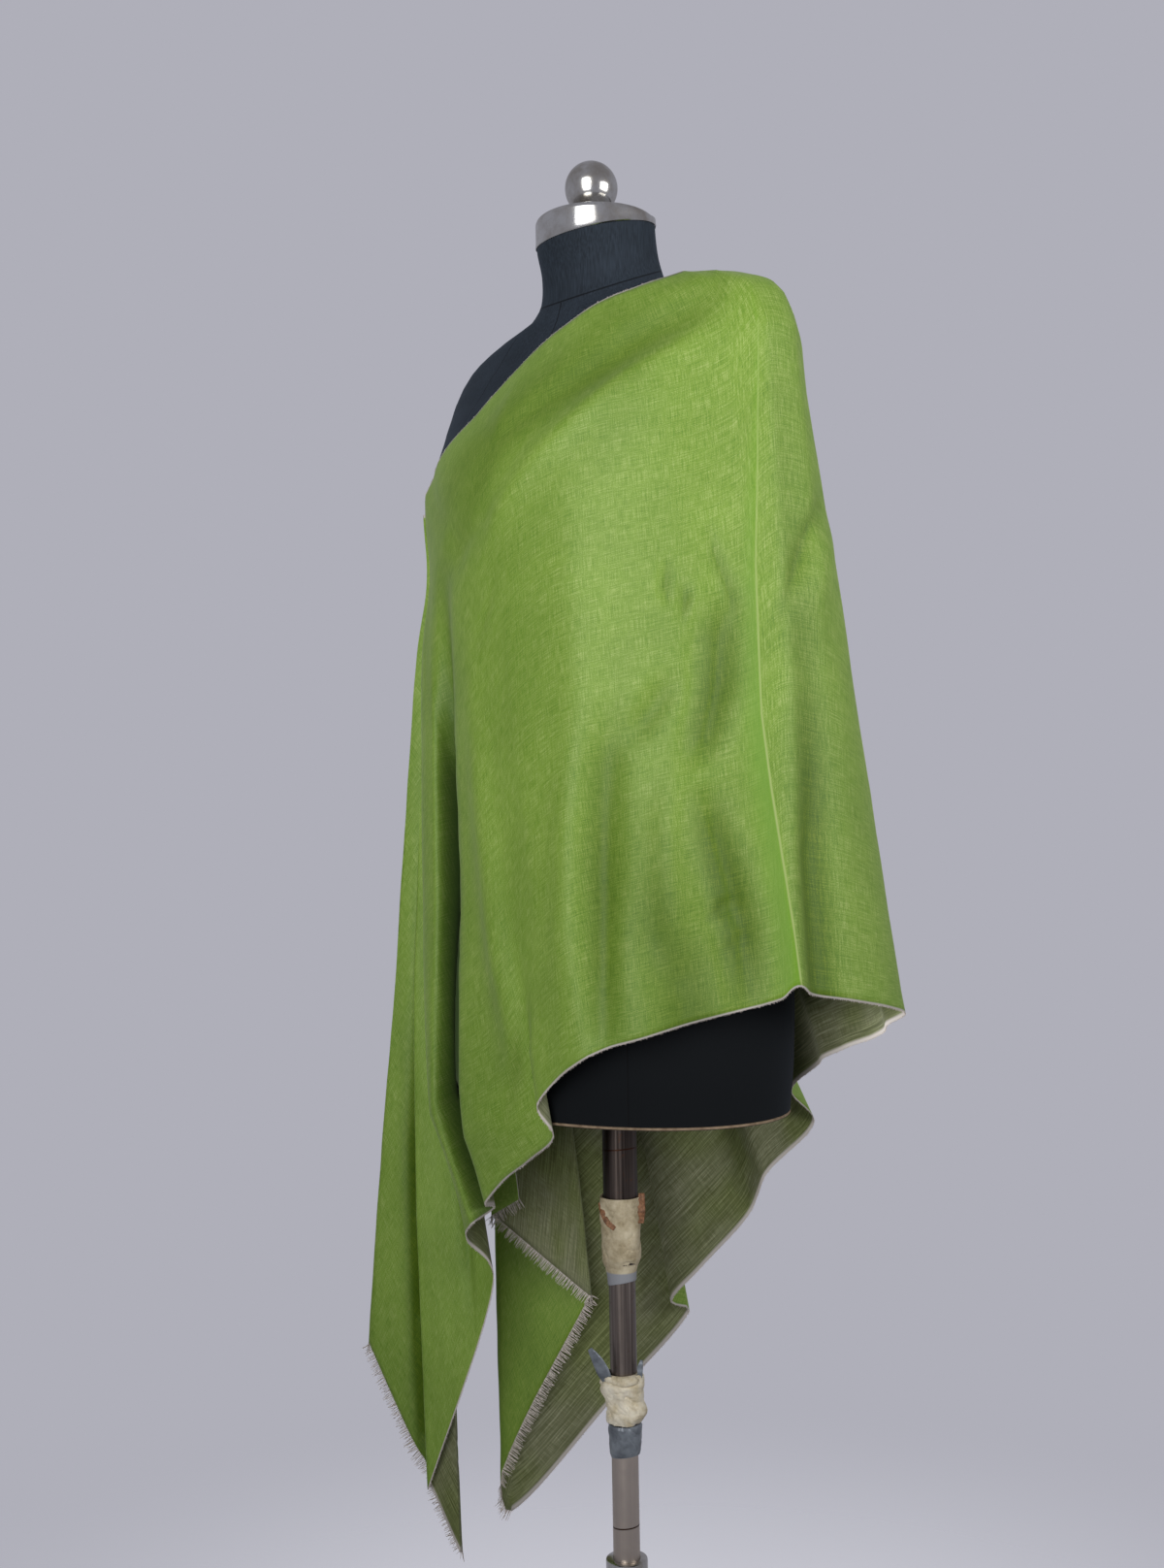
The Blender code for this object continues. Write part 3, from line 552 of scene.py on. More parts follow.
def besidePath(path, along, down):
    # how far off a crease's path, on which side (1 where along is greater), and the path's depth there
    nearest = None
    for (x0, y0, d0), (x1, y1, d1) in zip(path, path[1:]):
        runX, runY = x1 - x0, y1 - y0
        share = ((along - x0) * runX + (down - y0) * runY) / (runX * runX + runY * runY)
        share = min(max(share, 0.0), 1.0)
        sideX, sideY = along - x0 - runX * share, down - y0 - runY * share
        off = math.hypot(sideX, sideY)
        if nearest is None or off < nearest[0]:
            nearest = (off, math.copysign(1, sideX * runY - sideY * runX), d0 + (d1 - d0) * share)
    return nearest


def creaseShare(path, halfWidth, power, along, down):
    off, _, depth = besidePath(path, along, down)
    return depth * math.exp(-(off / halfWidth) ** power)


creaseLimits, pushLimits = creaseBounds(creases), creaseBounds(pushes)


def nearCreases(along, down):
    return [row for row, (left, right, high, low) in zip(creases, creaseLimits)
            if left < along < right and high < down < low]


def creaseShift(along, down, normal):
    depth = noise.noise(Vector((along * 9, down * 4, 1.7))) * 0.0022
    depth += noise.noise(Vector((along * 34, down * 17, 5.1))) * 0.0005
    depth += sum(creaseShare(path, halfWidth, power, along, down)
                 for halfWidth, power, path in nearCreases(along, down))
    shift = normal * depth
    for (way, halfWidth, power, path), (left, right, high, low) in zip(pushes, pushLimits):
        if left < along < right and high < down < low:
            shift += Vector((*way, 0)) * creaseShare(path, halfWidth, power, along, down)
    return shift


def easedFold(grid, alongs):
    # the chest's last fold opens only near the hem: above, the cloth runs over it without a break
    low, high = stole["eased"]
    inside = [i for i, along in enumerate(alongs) if low < along < high]
    for row in range(stole["rows"] + 1):
        passes = round(60 * min(max((stole["easedTo"] - row / stole["rows"]) / 0.25, 0), 1))
        for _ in range(passes):
            line = [grid[i][row] for i in range(inside[0] - 1, inside[-1] + 2)]
            for n, i in enumerate(inside):
                grid[i][row] = (line[n] + line[n + 1] * 2 + line[n + 2]) / 4


def clothGrid():
    front = panelRibs(frontRibs) + fanRibs(frontFan, frontPin)
    back = panelRibs(backRibs) + fanRibs(backFan, backPin)
    ribs = roundedTurns([(-along, points) for along, points in reversed(back)] + front[1:])
    columns = []
    for k, (here, there) in enumerate(zip(ribs, ribs[1:])):
        cell = next((size for low, high, size in stole["fineCells"] if low < here[0] < high), stole["cell"])
        count = max(3, math.ceil((there[0] - here[0]) / cell))
        columns += [ribColumn(ribs, k + i / count) for i in range(count)]
    columns.append(ribColumn(ribs, len(ribs) - 1))
    grid = [column for column, along in columns]
    alongs = [along for column, along in columns]
    easedFold(grid, alongs)
    last, bottom = len(grid) - 1, stole["rows"]
    shifted = []
    for i, column in enumerate(grid):
        line = []
        for k, point in enumerate(column):
            way = grid[min(i + 1, last)][k] - grid[max(i - 1, 0)][k]
            fall = column[min(k + 1, bottom)] - column[max(k - 1, 0)]
            line.append(point + creaseShift(*flatPoint(alongs[i], k / bottom), way.cross(fall).normalized()))
        shifted.append(line)
    return shifted, alongs


def keptClear(grid, form):
    # points that a trough took too near the form go back out
    tree = BVHTree.FromPolygons([v.co for v in form.data.vertices],
                                [list(p.vertices) for p in form.data.polygons])
    for column in grid:
        for k, point in enumerate(column):
            near, normal, _, distance = tree.find_nearest(point, 0.06)
            if near is None:
                continue
            height = (point - near).dot(normal)
            if height < stole["clear"]:
                column[k] = point + normal * (stole["clear"] - height)


def makeStole(form, looks):
    grid, alongs = clothGrid()
    keptClear(grid, form)
    last, bottom = len(grid) - 1, stole["rows"]
    bm = mappedGrid(last, bottom, lambda column, row: grid[last - column][row],
                    lambda column, row: flatPoint(alongs[last - column], row / bottom))
    uv = bm.loops.layers.uv["cloth"]
    names = ("arrisOff", "arrisGrown", "hollow", "deepFold")
    arrisOff, arrisGrown, hollow, paintedValleyShade = (bm.verts.layers.float.new(name) for name in names)
    line = creases[0][2]
    for vert in bm.verts:
        along, down = vert.link_loops[0][uv].uv
        # painted shade down in the valley beside the chest
        way, halfWidth, power, path = pushes[0]
        if along > 0.3:
            vert[paintedValleyShade] = min(creaseShare(path, halfWidth * 1.25, power, along, down) / 0.042, 1.0)
        off, side, _ = besidePath(line, along, down)
        vert[arrisOff] = off * side
        vert[arrisGrown] = min(max((down - 0.13) / 0.35, 0), 1)
        # painted shade: the troughs, and the listed painted shades, darken the cloth's colour
        vert[hollow] = sum(min(creaseShare(path, halfWidth, power, along, down), 0) / -max(halfWidth, 0.008)
                           for halfWidth, power, path in nearCreases(along, down) if halfWidth < 0.03)
        vert[hollow] += sum(creaseShare(path, halfWidth, power, along, down)
                            for halfWidth, power, path in paintedShades)
    piece = addPiece("stole", bm, looks, replaced=[
        "stole_back_end", "stole_back_panel", "stole_side_panel", "stole_front_panel", "stole_front_end"])
    wall = thicken(piece, stole["thickness"])
    wall.material_offset, wall.material_offset_rim = 1, 2
    return piece, grid, alongs


# the stole's edges: short warp ends left as a fringe, and the whiskers of the long edges
fringe = {"spacing": 0.00095, "length": 0.0125, "radius": 0.00048, "tip": 0.4, "spread": 0.22, "uneven": 0.35,
          "droop": 0.25, "rooted": 0.0006}
selvedge = {"spacing": 0.0012, "length": 0.0020, "radius": 0.00035, "tip": 0.5, "spread": 0.5, "uneven": 0.5,
            "droop": 0.05, "rooted": 0.0006}


def edgeFrames(edge, inner, spacing):
    # evenly spaced places on an edge: each with its point, its way out of the cloth and the cloth's normal
    frames = []
    walked = 0.0
    for i in range(len(edge) - 1):
        here, there = edge[i], edge[i + 1]
        span = (there - here).length
        tangent = (there - here).normalized()
        while walked < span:
            point = here.lerp(there, walked / span)
            out = (here - inner[i]).lerp(there - inner[i + 1], walked / span)
            out = (out - tangent * out.dot(tangent)).normalized()
            frames.append((point, out, tangent.cross(out).normalized()))
            walked += spacing
        walked -= span
    return frames


def makeStrands(name, columns, ends, sizes, seed, slot, replaced, material):
    pick = random.Random(seed)
    bm = bmesh.new()
    edge, inner = ([column[k] for column in columns] for k in ends)
    for point, out, normal in edgeFrames(edge, inner, sizes["spacing"]):
        side = out.cross(normal)
        lean = side * pick.uniform(-1, 1) * sizes["spread"] + normal * pick.uniform(-1, 1) * sizes["spread"]
        way = (out + lean + Vector((0, 0, -sizes["droop"] * pick.random()))).normalized()
        length = sizes["length"] * (1 - sizes["uneven"] * pick.random())
        thick = sizes["radius"] * pick.uniform(0.7, 1.2)
        centre = point - out * sizes["rooted"] + way * (length / 2)
        place = Matrix.Translation(centre) @ way.to_track_quat("Z", "Y").to_matrix().to_4x4()
        bmesh.ops.create_cone(bm, cap_ends=True, segments=3, radius1=thick, radius2=thick * sizes["tip"],
                              depth=length, matrix=place)
    return addPiece(name, bm, [material], 80, replaced)


def makeEdges(grid, alongs, material):
    corner = stole["topRun"] + stole["width"] * math.radians(stole["cornerAngle"])
    hem = [i for i, along in enumerate(alongs) if abs(along) <= corner + 0.0001]
    first, last = hem[0], hem[-1]
    top = [column for column, along in zip(grid, alongs) if abs(along) <= stole["topRun"] - 0.02]
    low, high = (-1, -2), (0, 1)  # the edge's row of points and the next one in
    return [makeStrands(*row, material) for row in (
        ("fringeBackEnd", grid[:first + 1], low, fringe, 3, "warp_ends", ["fringe_back_end"]),
        ("fringeFrontEnd", grid[last:], low, fringe, 5, "warp_ends", ["fringe_front_end"]),
        ("hemWhiskers", grid[first:last + 1], low, selvedge, 7, "wool", ()),
        ("neckEdgeWhiskers", top, high, selvedge, 9, "wool", ()))]


wool = {
    "threadSpacing": 0.0007,   # the real threads are 0.4 mm apart; drawn coarser, or they wouldn't show
    "streakLength": 0.016,     # how far a heathered thread keeps its shade
    "slubSpacing": 0.0018, "slubLength": 0.07,
    "toneSize": 0.09,
    "dark": "#567A1E", "middle": "#779632", "light": "#A3B36B",
    "hollow": "#B2BC5A",       # painted shade in a trough: multiplies the green there
    "paintedGlow": "#669215",          # painted light beside the arris: a glow of light through the cloth, a fuller green
    # a painted highlight: the pale line along the arris's crest
    "arris": "#A3B16C",
    "paintedValleyShade": "#29420F",         # painted shade down in the tucked fold, where the valley lies in shadow
    "insideDark": "#545739", "insideMiddle": "#6E7155", "insideLight": "#94967A",
    "arrisWidth": 0.0008, "paintedGlowFrom": 0.0024, "paintedGlowTo": 0.020,
    "selvedge": "#C6BFB9",
    "selvedgeWidth": 0.0019, "insideSelvedgeWidth": 0.0045,
}


def startWool(name, shares, shades, tones, toneDetail):
    # both faces: heathered warp, weft, slubs and speckle, each with its share, and a slow change of tone
    material, tree, flat = startMaterial(name, "UVMap", {"uv_map": "cloth"}, "UV")
    fine, long = wool["threadSpacing"], wool["streakLength"]
    grains = ((long, fine, 1.0), (fine, long, 1.0), (wool["slubLength"], wool["slubSpacing"], 2.0),
              (fine, fine, 1.0))
    threads = 0.0
    for share, (along, down, detail) in zip(shares, grains):
        place = addNode(tree, "Mapping", {"Vector": flat, "Scale": (1 / along, 1 / down, 1)})
        grain = addNode(tree, "TexNoise", {"Vector": place, "Scale": 1.0, "Detail": detail, "Roughness": 0.6})
        threads = addNode(tree, "Math", {"operation": "MULTIPLY_ADD", 0: grain, 1: share, 2: threads})
    shade = addNode(tree, "ValToRGB", {"Fac": threads, "stops": list(zip((0.36, 0.5, 0.64), shades))})
    tone = grained(tree, flat, tones, 1 / wool["toneSize"], toneDetail)[1]
    colour = addNode(tree, "Mix", {"data_type": "RGBA", "blend_type": "MULTIPLY", 0: 1.0, 6: shade, 7: tone}, 2)
    return material, tree, flat, threads, grain, colour


def finishWool(material, flat, colour, threads, width, strength, distance, settings):
    # the loom's own edge threads, at both long edges of the cloth, and the weave's relief
    tree = material.node_tree
    middle = stole["width"] / 2
    down = addNode(tree, "SeparateXYZ", {0: flat}, "Y")
    off = addNode(tree, "Math", {"operation": "SUBTRACT", 0: down, 1: middle})
    off = addNode(tree, "Math", {"operation": "ABSOLUTE", 0: off})
    share = addNode(tree, "MapRange", {"Value": off, "From Min": middle - width,
                                       "From Max": middle - width * 0.5})
    colour = addNode(tree, "Mix", {"data_type": "RGBA", 0: share, 6: colour, 7: wool["selvedge"]}, 2)
    weave = addNode(tree, "Bump", {"Height": threads, "Strength": strength, "Distance": distance})
    return finishMaterial(material, {"Base Color": colour, "Normal": weave, "IOR": 1.45, "Sheen Roughness": 0.5,
                                     **settings})


def woolOutside():
    # fine plain-woven wool, yarn dyed in two greens with undyed fibres: matt, heathered, a pale nap
    material, tree, flat, threads, speckle, colour = startWool(
        "heatheredPlainWeaveWool", (1 / 3.5, 1 / 3.5, 0.3 / 3.5, 1.2 / 3.5),
        (wool["dark"], wool["middle"], wool["light"]), [(0.35, "#EAEEE2"), (0.65, "#FFFFFF")], 3.0)
    # painted shade in troughs and the valley, painted glow and highlight by the arris, from the cloth's
    # attributes
    hollow, off, grown, paintedValleyShade = (addNode(tree, "Attribute", {"attribute_name": name}, "Fac")
                                for name in ("hollow", "arrisOff", "arrisGrown", "deepFold"))
    # the band of painted glow beside the arris, wider further down
    width = addNode(tree, "MapRange", {"Value": grown, "To Min": wool["paintedGlowFrom"], "To Max": wool["paintedGlowTo"]})
    ragged = addNode(tree, "Math", {"operation": "MULTIPLY_ADD", 0: speckle, 1: 1.6, 2: 0.2})
    width = addNode(tree, "Math", {"operation": "MULTIPLY", 0: width, 1: ragged})
    paintedGlowShare = addNode(tree, "MapRange", {"interpolation_type": "SMOOTHSTEP", "Value": off, "From Max": width,
                                      "To Min": 0.8, "To Max": 0.0})
    left = addNode(tree, "MapRange", {"Value": off, "From Min": -0.001, "From Max": 0.0})
    some = addNode(tree, "MapRange", {"Value": grown, "To Min": 0.35})
    below = addNode(tree, "Math", {"operation": "GREATER_THAN", 0: grown, 1: 0.0})
    # a painted highlight: a thin pale line along the arris's crest
    line = addNode(tree, "Math", {"operation": "ABSOLUTE", 0: off})
    line = addNode(tree, "MapRange", {"Value": line, "From Min": wool["arrisWidth"],
                                      "From Max": wool["arrisWidth"] / 4, "To Max": 0.75})
    for first, second in ((left, below), (some, some)):
        paintedGlowShare = addNode(tree, "Math", {"operation": "MULTIPLY", 0: paintedGlowShare, 1: first})
        line = addNode(tree, "Math", {"operation": "MULTIPLY", 0: line, 1: second})
    # painted shade, painted glow, painted valley shade and a painted highlight laid over the weave's colour
    for share, shade, way in ((hollow, "hollow", "MULTIPLY"), (paintedGlowShare, "paintedGlow", "MIX"), (paintedValleyShade, "paintedValleyShade", "MIX"),
                              (line, "arris", "MIX")):
        colour = addNode(tree, "Mix", {"data_type": "RGBA", "blend_type": way, 0: share, 6: colour,
                                       7: wool[shade]}, 2)
    return finishWool(material, flat, colour, threads, wool["selvedgeWidth"], 0.35, 0.0003, {
        "Roughness": 0.6, "Specular IOR Level": 0.45, "Sheen Weight": 0.10, "Sheen Tint": "#D5DCC0"})


def woolInside():
    # the same cloth's back: undyed grey weft over the green, with long slubs that run lengthwise
    material, tree, flat, threads, _, colour = startWool(
        "slubbedWoolBack", (0.25, 0.25, 0.5), (wool["insideDark"], wool["insideMiddle"], wool["insideLight"]),
        [(0.4, "#E6F0C8"), (0.6, "#FFFFFF")], 2.0)
    return finishWool(material, flat, colour, threads, wool["insideSelvedgeWidth"], 0.4, 0.0004, {
        "Roughness": 0.9, "Specular IOR Level": 0.2, "Sheen Weight": 0.25, "Sheen Tint": "#D8DACC"})


torso = {"rings": 150, "segments": 128, "neckSeam": (0.7427, 0.0167, 0.4166), "princessTop": 0.70,
         "frontSeam": -92, "backSeam": 90, "princessAngles": (-45, -135, 50, 130), "seamWidth": 0.0011}


def seamOffs(place, height):
    # how far a point of the form lies from its neck seam and from its nearest upright seam
    angle = math.degrees(math.atan2(place.y, place.x))
    reach = math.hypot(place.x, place.y)
    level, riseX, riseY = torso["neckSeam"]
    neck = height - level - riseX * place.x - riseY * place.y
    seams = [torso["frontSeam"], torso["backSeam"]] if neck < 0 else []
    if height < torso["princessTop"]:
        seams += torso["princessAngles"]
    offs = [math.radians(angle - seam) * reach for seam in seams] + [0.1]
    return neck, min(offs, key=abs)


def makeTorso(jersey):
    top = formRows[-1][0]
    segments, rings = torso["segments"], torso["rings"]

    def place(column, row):
        height = top * (1 - row / rings)
        angle = 2 * math.pi * column / segments - math.pi
        return formPoint(formSection(height), angle)

    bm = mappedGrid(segments, rings, place, closed=True)
    neckOff, uprightOff = (bm.verts.layers.float.new(name) for name in ("neckSeamOff", "uprightSeamOff"))
    for vert in bm.verts:
        vert[neckOff], vert[uprightOff] = seamOffs(vert.co, vert.co.z - hipHeight)
    for side in (-1, 1):
        cut = bmesh.ops.bisect_plane(bm, geom=bm.verts[:] + bm.edges[:] + bm.faces[:], clear_outer=True,
                                     plane_co=(side * formShape["armPlane"], 0, 0), plane_no=(side, 0, 0))
        edges = [e for e in cut["geom_cut"] if isinstance(e, bmesh.types.BMEdge)]
        bmesh.ops.holes_fill(bm, edges=edges, sides=0)
    closeEnds(bm)
    return addPiece("formJersey", bm, [jersey], 50, ["form_torso"])


def jerseyLook():
    # black cotton jersey stretched over the form: matt, very dark, with a faint bluish nap
    material, tree, place = startMaterial("blackCottonJersey")
    wales = addNode(tree, "Mapping", {"Vector": place, "Scale": (900, 900, 60)})
    knit = addNode(tree, "TexNoise", {"Vector": wales, "Scale": 1.0, "Detail": 1.0})
    lint = addNode(tree, "TexNoise", {"Vector": place, "Scale": 14.0, "Detail": 4.0, "Roughness": 0.7})
    both = addNode(tree, "Mix", {"data_type": "FLOAT", 0: 0.45, 2: knit, 3: lint})
    shade = addNode(tree, "ValToRGB", {"Fac": both, "stops": [(0.3, "#1C2127"), (0.7, "#2F3741")]})
    heightShare = addNode(tree, "MapRange", {"Value": addNode(tree, "SeparateXYZ", {0: place}, "Z"),
                                       "From Min": hipHeight + 0.10, "From Max": hipHeight + 0.72})
    seams = []
    for name in ("neckSeamOff", "uprightSeamOff"):
        off = addNode(tree, "Attribute", {"attribute_name": name}, "Fac")
        off = addNode(tree, "Math", {"operation": "ABSOLUTE", 0: off})
        seams.append(addNode(tree, "MapRange", {"Value": off, "From Max": torso["seamWidth"]}))
    seam = addNode(tree, "Math", {"operation": "MINIMUM", 0: seams[0], 1: seams[1]})
    # the jersey is darker towards the bottom, and the seams are darkest
    shade = addNode(tree, "Mix", {"data_type": "RGBA", 0: heightShare, 6: "#0B0E11", 7: shade}, 2)
    colour = addNode(tree, "Mix", {"data_type": "RGBA", 0: seam, 6: "#07080A", 7: shade}, 2)
    height = addNode(tree, "Math", {"operation": "MULTIPLY_ADD", 0: seam, 1: 3.0, 2: knit})
    bump = addNode(tree, "Bump", {"Height": height, "Strength": 0.35, "Distance": 0.0003})
    return finishMaterial(material, {
        "Base Color": colour, "Normal": bump, "Roughness": 0.85,
        "Specular IOR Level": 0.14, "Sheen Weight": 0.10, "Sheen Roughness": 0.4, "Sheen Tint": "#8FA0B4"})


def polishedSteel():
    # polished stainless steel: mirror bright, with fine wiping scratches and dull smudges
    material, tree, place = startMaterial("polishedStainlessSteel")
    smudge, shade = grained(tree, place, [(0.35, "#A9A49C"), (0.6, "#CFCFCD")], 38.0, 5.0, 0.65)
    dull = addNode(tree, "MapRange", {"Value": smudge, "From Min": 0.3, "From Max": 0.7, "To Min": 0.24,
                                      "To Max": 0.10})
    return finishMaterial(material, {"Base Color": shade, "Metallic": 1.0, "Roughness": dull})


def wornSteel(name, darkSteel, lightSteel, ringHeight):
    # drawn steel tube, its plating worn: drawing marks, grey brown, rust freckles, a rusty scored ring
    material, tree, place = startMaterial(name)
    lines = addNode(tree, "Mapping", {"Vector": place, "Scale": (420, 420, 5)})
    steel = grained(tree, lines, [(0.3, darkSteel), (0.7, lightSteel)], 1.0, 2.0)[1]
    spots = addNode(tree, "TexNoise", {"Vector": place, "Scale": 120.0, "Detail": 6.0, "Roughness": 0.7})
    rust = addNode(tree, "MapRange", {"Value": spots, "From Min": 0.60, "From Max": 0.72, "To Max": 0.8})
    x, _, z = addNode(tree, "SeparateXYZ", {0: place}).node.outputs
    level = addNode(tree, "Math", {"operation": "MULTIPLY_ADD", 0: x, 1: -0.10, 2: z})
    level = addNode(tree, "Math", {"operation": "SUBTRACT", 0: level, 1: ringHeight})
    level = addNode(tree, "Math", {"operation": "ABSOLUTE", 0: level})
    ring = addNode(tree, "MapRange", {"Value": level, "From Min": 0.0009, "From Max": 0.0004})
    paintedLightBelow = addNode(tree, "MapRange", {"Value": z, "From Min": hipHeight - 0.300,
                                        "From Max": hipHeight - 0.312, "To Max": 0.75})  # painted light: lighter below, where the cloth's shade on the tube ends
    rough = addNode(tree, "MapRange", {"Value": spots, "To Min": 0.26, "To Max": 0.5})
    for share, shade in ((rust, "#5A3A26"), (paintedLightBelow, "#C9BDB1"), (ring, "#3A2418")):
        steel = addNode(tree, "Mix", {"data_type": "RGBA", 0: share, 6: steel, 7: shade}, 2)
    return finishMaterial(material, {"Base Color": steel, "Metallic": 1.0, "Roughness": rough})


def clothTape(name, soiled, cream, clean):
    # cotton tape wound by hand: matt, creased, soiled in its folds; its thin end shows the steel through
    material, tree, place = startMaterial(name)
    shade = grained(tree, place, [(0.3, soiled), (0.5, cream), (0.7, clean)], 70.0, 5.0, 0.65)[1]
    height = addNode(tree, "SeparateXYZ", {0: place}, "Z")
    end = addNode(tree, "MapRange", {"Value": height, "From Min": hipHeight - 0.1560,
                                     "From Max": hipHeight - 0.1575})
    low = addNode(tree, "Math", {"operation": "GREATER_THAN", 0: height, 1: hipHeight - 0.2})
    end = addNode(tree, "Math", {"operation": "MULTIPLY", 0: end, 1: low})
    weave = addNode(tree, "TexNoise", {"Vector": place, "Scale": 1100.0, "Detail": 0.0})
    bump = addNode(tree, "Bump", {"Height": weave, "Strength": 0.4, "Distance": 0.0003})
    colour = addNode(tree, "Mix", {"data_type": "RGBA", 0: end, 6: shade, 7: "#8E9096"}, 2)
    return finishMaterial(material, {"Base Color": colour, "Normal": bump, "Roughness": 0.82,
                                     "Specular IOR Level": 0.3})


def boardLook():
    # pasteboard under the form and the raw tan binding at its lower edge; below that it is painted black
    material, tree, place = startMaterial("tanBoardEdge")
    shade = grained(tree, place, [(0.3, "#6E5C49"), (0.7, "#93806A")], 160.0, 3.0)[1]
    under = addNode(tree, "MapRange", {"Value": addNode(tree, "SeparateXYZ", {0: place}, "Z"),
                                       "From Min": hipHeight - 0.0022, "From Max": hipHeight - 0.0027})
    colour = addNode(tree, "Mix", {"data_type": "RGBA", 0: under, 6: shade, 7: "#100E0D"}, 2)
    return finishMaterial(material, {"Base Color": colour, "Roughness": 0.8, "Specular IOR Level": 0.3})


def plainLook(name, stops, scale, detail, settings):
    material, tree, place = startMaterial(name)
    return finishMaterial(material, {"Base Color": grained(tree, place, stops, scale, detail)[1], **settings})


stand = {  # the lists are in mm, as (radius, height) unless a note says otherwise
    "ballRadius": 0.024, "ballCentre": 0.8305, "ballForward": -0.016, "ballRings": 40,
    "capRim": 0.8005, "capGap": 0.0003,  # the cap over the neck's top
    "capLevels": [(0, 0.4), (0.6, 0), (1.2, 0.8), (1, 2.2), (0.8, 6)],  # out from the neck's oval, up
    "capRounds": [(54.8, -4), (54.6, -2.4), (54, -1.1), (52.9, -0.2), (51.2, 0.4), (48, 1), (34, 4),
                  (19, 5.2), (12.5, 5.5), (0, 5.6)],
    "ballFoot": [(0, 5.8), (11.8, 5.8), (12.2, 6.4), (11.6, 7.1), (9.2, 7.6)],
    "board": [(0.3, 0.6), (0.6, 0.1), (2.2, 0), (3, 0.8)],  # down, in
    "tubeEdge": 0.6,  # the cut corner at a tube's end, in mm too
    "tapeThickness": 0.0005,
    "collar": [(12.6, -420), (17.8, -420), (18.9, -420.7), (19.2, -422), (19.2, -453), (18.9, -454.3),
               (17.8, -455), (12.6, -455)],
    "foot": [(0, 0), (182, 0), (184.1, 0.9), (185, 3), (185, 9), (184.1, 11.1), (182, 12), (40, 13.3),
             (34, 14.5), (29, 18), (26.2, 22.5), (24.5, 27.5), (23.5, 28), (0, 28)],
}


def makeCap(look):
    # pressed cap: a band round the neck's oval that turns over into a low dome
    top = formSection(formRows[-1][0])
    levels, rounds = metres(stand["capLevels"]), metres(stand["capRounds"])
    segments = 160

    def place(column, row):
        angle = 2 * math.pi * column / segments
        if row < len(levels):
            grow, lift = levels[row]
            return formPoint(top, angle, grow) + Vector((0, 0, lift + stand["capGap"]))
        radius, height = rounds[row - len(levels)]
        return Vector((radius * math.cos(angle), top["centre"] + radius * math.sin(angle),
                       hipHeight + stand["capRim"] + height))

    bm = mappedGrid(segments, len(levels) + len(rounds) - 1, place, closed=True)
    closeEnds(bm)
    addPiece("neckCap", bm, [look], 35, ["neck_cap"])


def makeBoard(look):
    section, board = formSection(0), metres(stand["board"])
    segments = 128

    def place(column, row):
        drop, inset = board[row]
        return formPoint(section, 2 * math.pi * column / segments, -inset) - Vector((0, 0, drop))

    bm = mappedGrid(segments, len(board) - 1, place, closed=True)
    closeEnds(bm)
    addPiece("hipBoard", bm, [look], 35, ["hip_board"])


def makeBall(look):
    radius, centre = stand["ballRadius"], stand["ballCentre"]
    profile = [(reach, stand["capRim"] + height) for reach, height in metres(stand["ballFoot"])]
    low = -math.acos(profile[-1][0] / radius)
    for i in range(1, stand["ballRings"]):
        angle = low + (math.pi / 2 - low) * i / stand["ballRings"]
        profile.append((radius * math.cos(angle), centre + radius * math.sin(angle)))
    addTurned("finialBall", profile + [(0.0, centre + radius)], look, "finial_ball",
              forward=stand["ballForward"])


def makeTube(name, node, radius, low, high, look, slot):
    edge = stand["tubeEdge"]
    profile = [(0, low), (radius - edge, low), (radius, low + edge), (radius, high - edge),
               (radius - edge, high), (0, high)]
    addTurned(name, metres(profile), look, node)


wraps = {
    # in mm: profile as (height from the hip board, radius) and sway as (height, shift to the camera's right);
    # crumple is how deep its folds are and pitch how steeply they wind
    "tapeWrapUpper": {
        "profile": [(-88.5, 16.6), (-88.2, 18.2), (-94, 18.8), (-110, 18.7), (-128, 18), (-146, 17.4),
                    (-152, 15.2), (-158, 13.8), (-167.6, 13.1), (-168, 12.6)],
        "sway": [(-88, 0), (-110, -0.3), (-168, 0.1)],
        "crumple": 0.0011, "pitch": 0.35, "seed": 2.0, "slant": 0.003},
    "tapeWrapLower": {
        "profile": [(-250, 12.6), (-250.2, 16), (-253, 18.2), (-260, 19.3), (-268, 19), (-275, 17.6),
                    (-281, 18.4), (-287, 18.2), (-292, 16.4), (-295, 15), (-295.2, 12.6)],
        "sway": [(-250, -1.6), (-264, -2), (-275, -0.4), (-284, 2.6), (-295, 0.2)],
        "crumple": 0.003, "pitch": 0.5, "seed": 7.0, "slant": 0.0},
    "ductBand": {
        "profile": [(-296.2, 12.6), (-296.4, 14.4), (-299, 15), (-306, 14.7), (-314, 14.8), (-322, 14.2),
                    (-325.6, 13.4), (-325.8, 12.6)],
        "sway": [(-296, 0), (-310, 0.8), (-326, 0.6)],
        "crumple": 0.0016, "pitch": 0.6, "seed": 11.0, "slant": 0.002},
}


def between(table, at):
    # a value from a table of (place, value) rows whose places go down
    for (x0, y0), (x1, y1) in zip(table, table[1:]):
        if at >= x1:
            return y0 + (y1 - y0) * min(max((at - x0) / (x1 - x0), 0), 1)
    return table[-1][1]


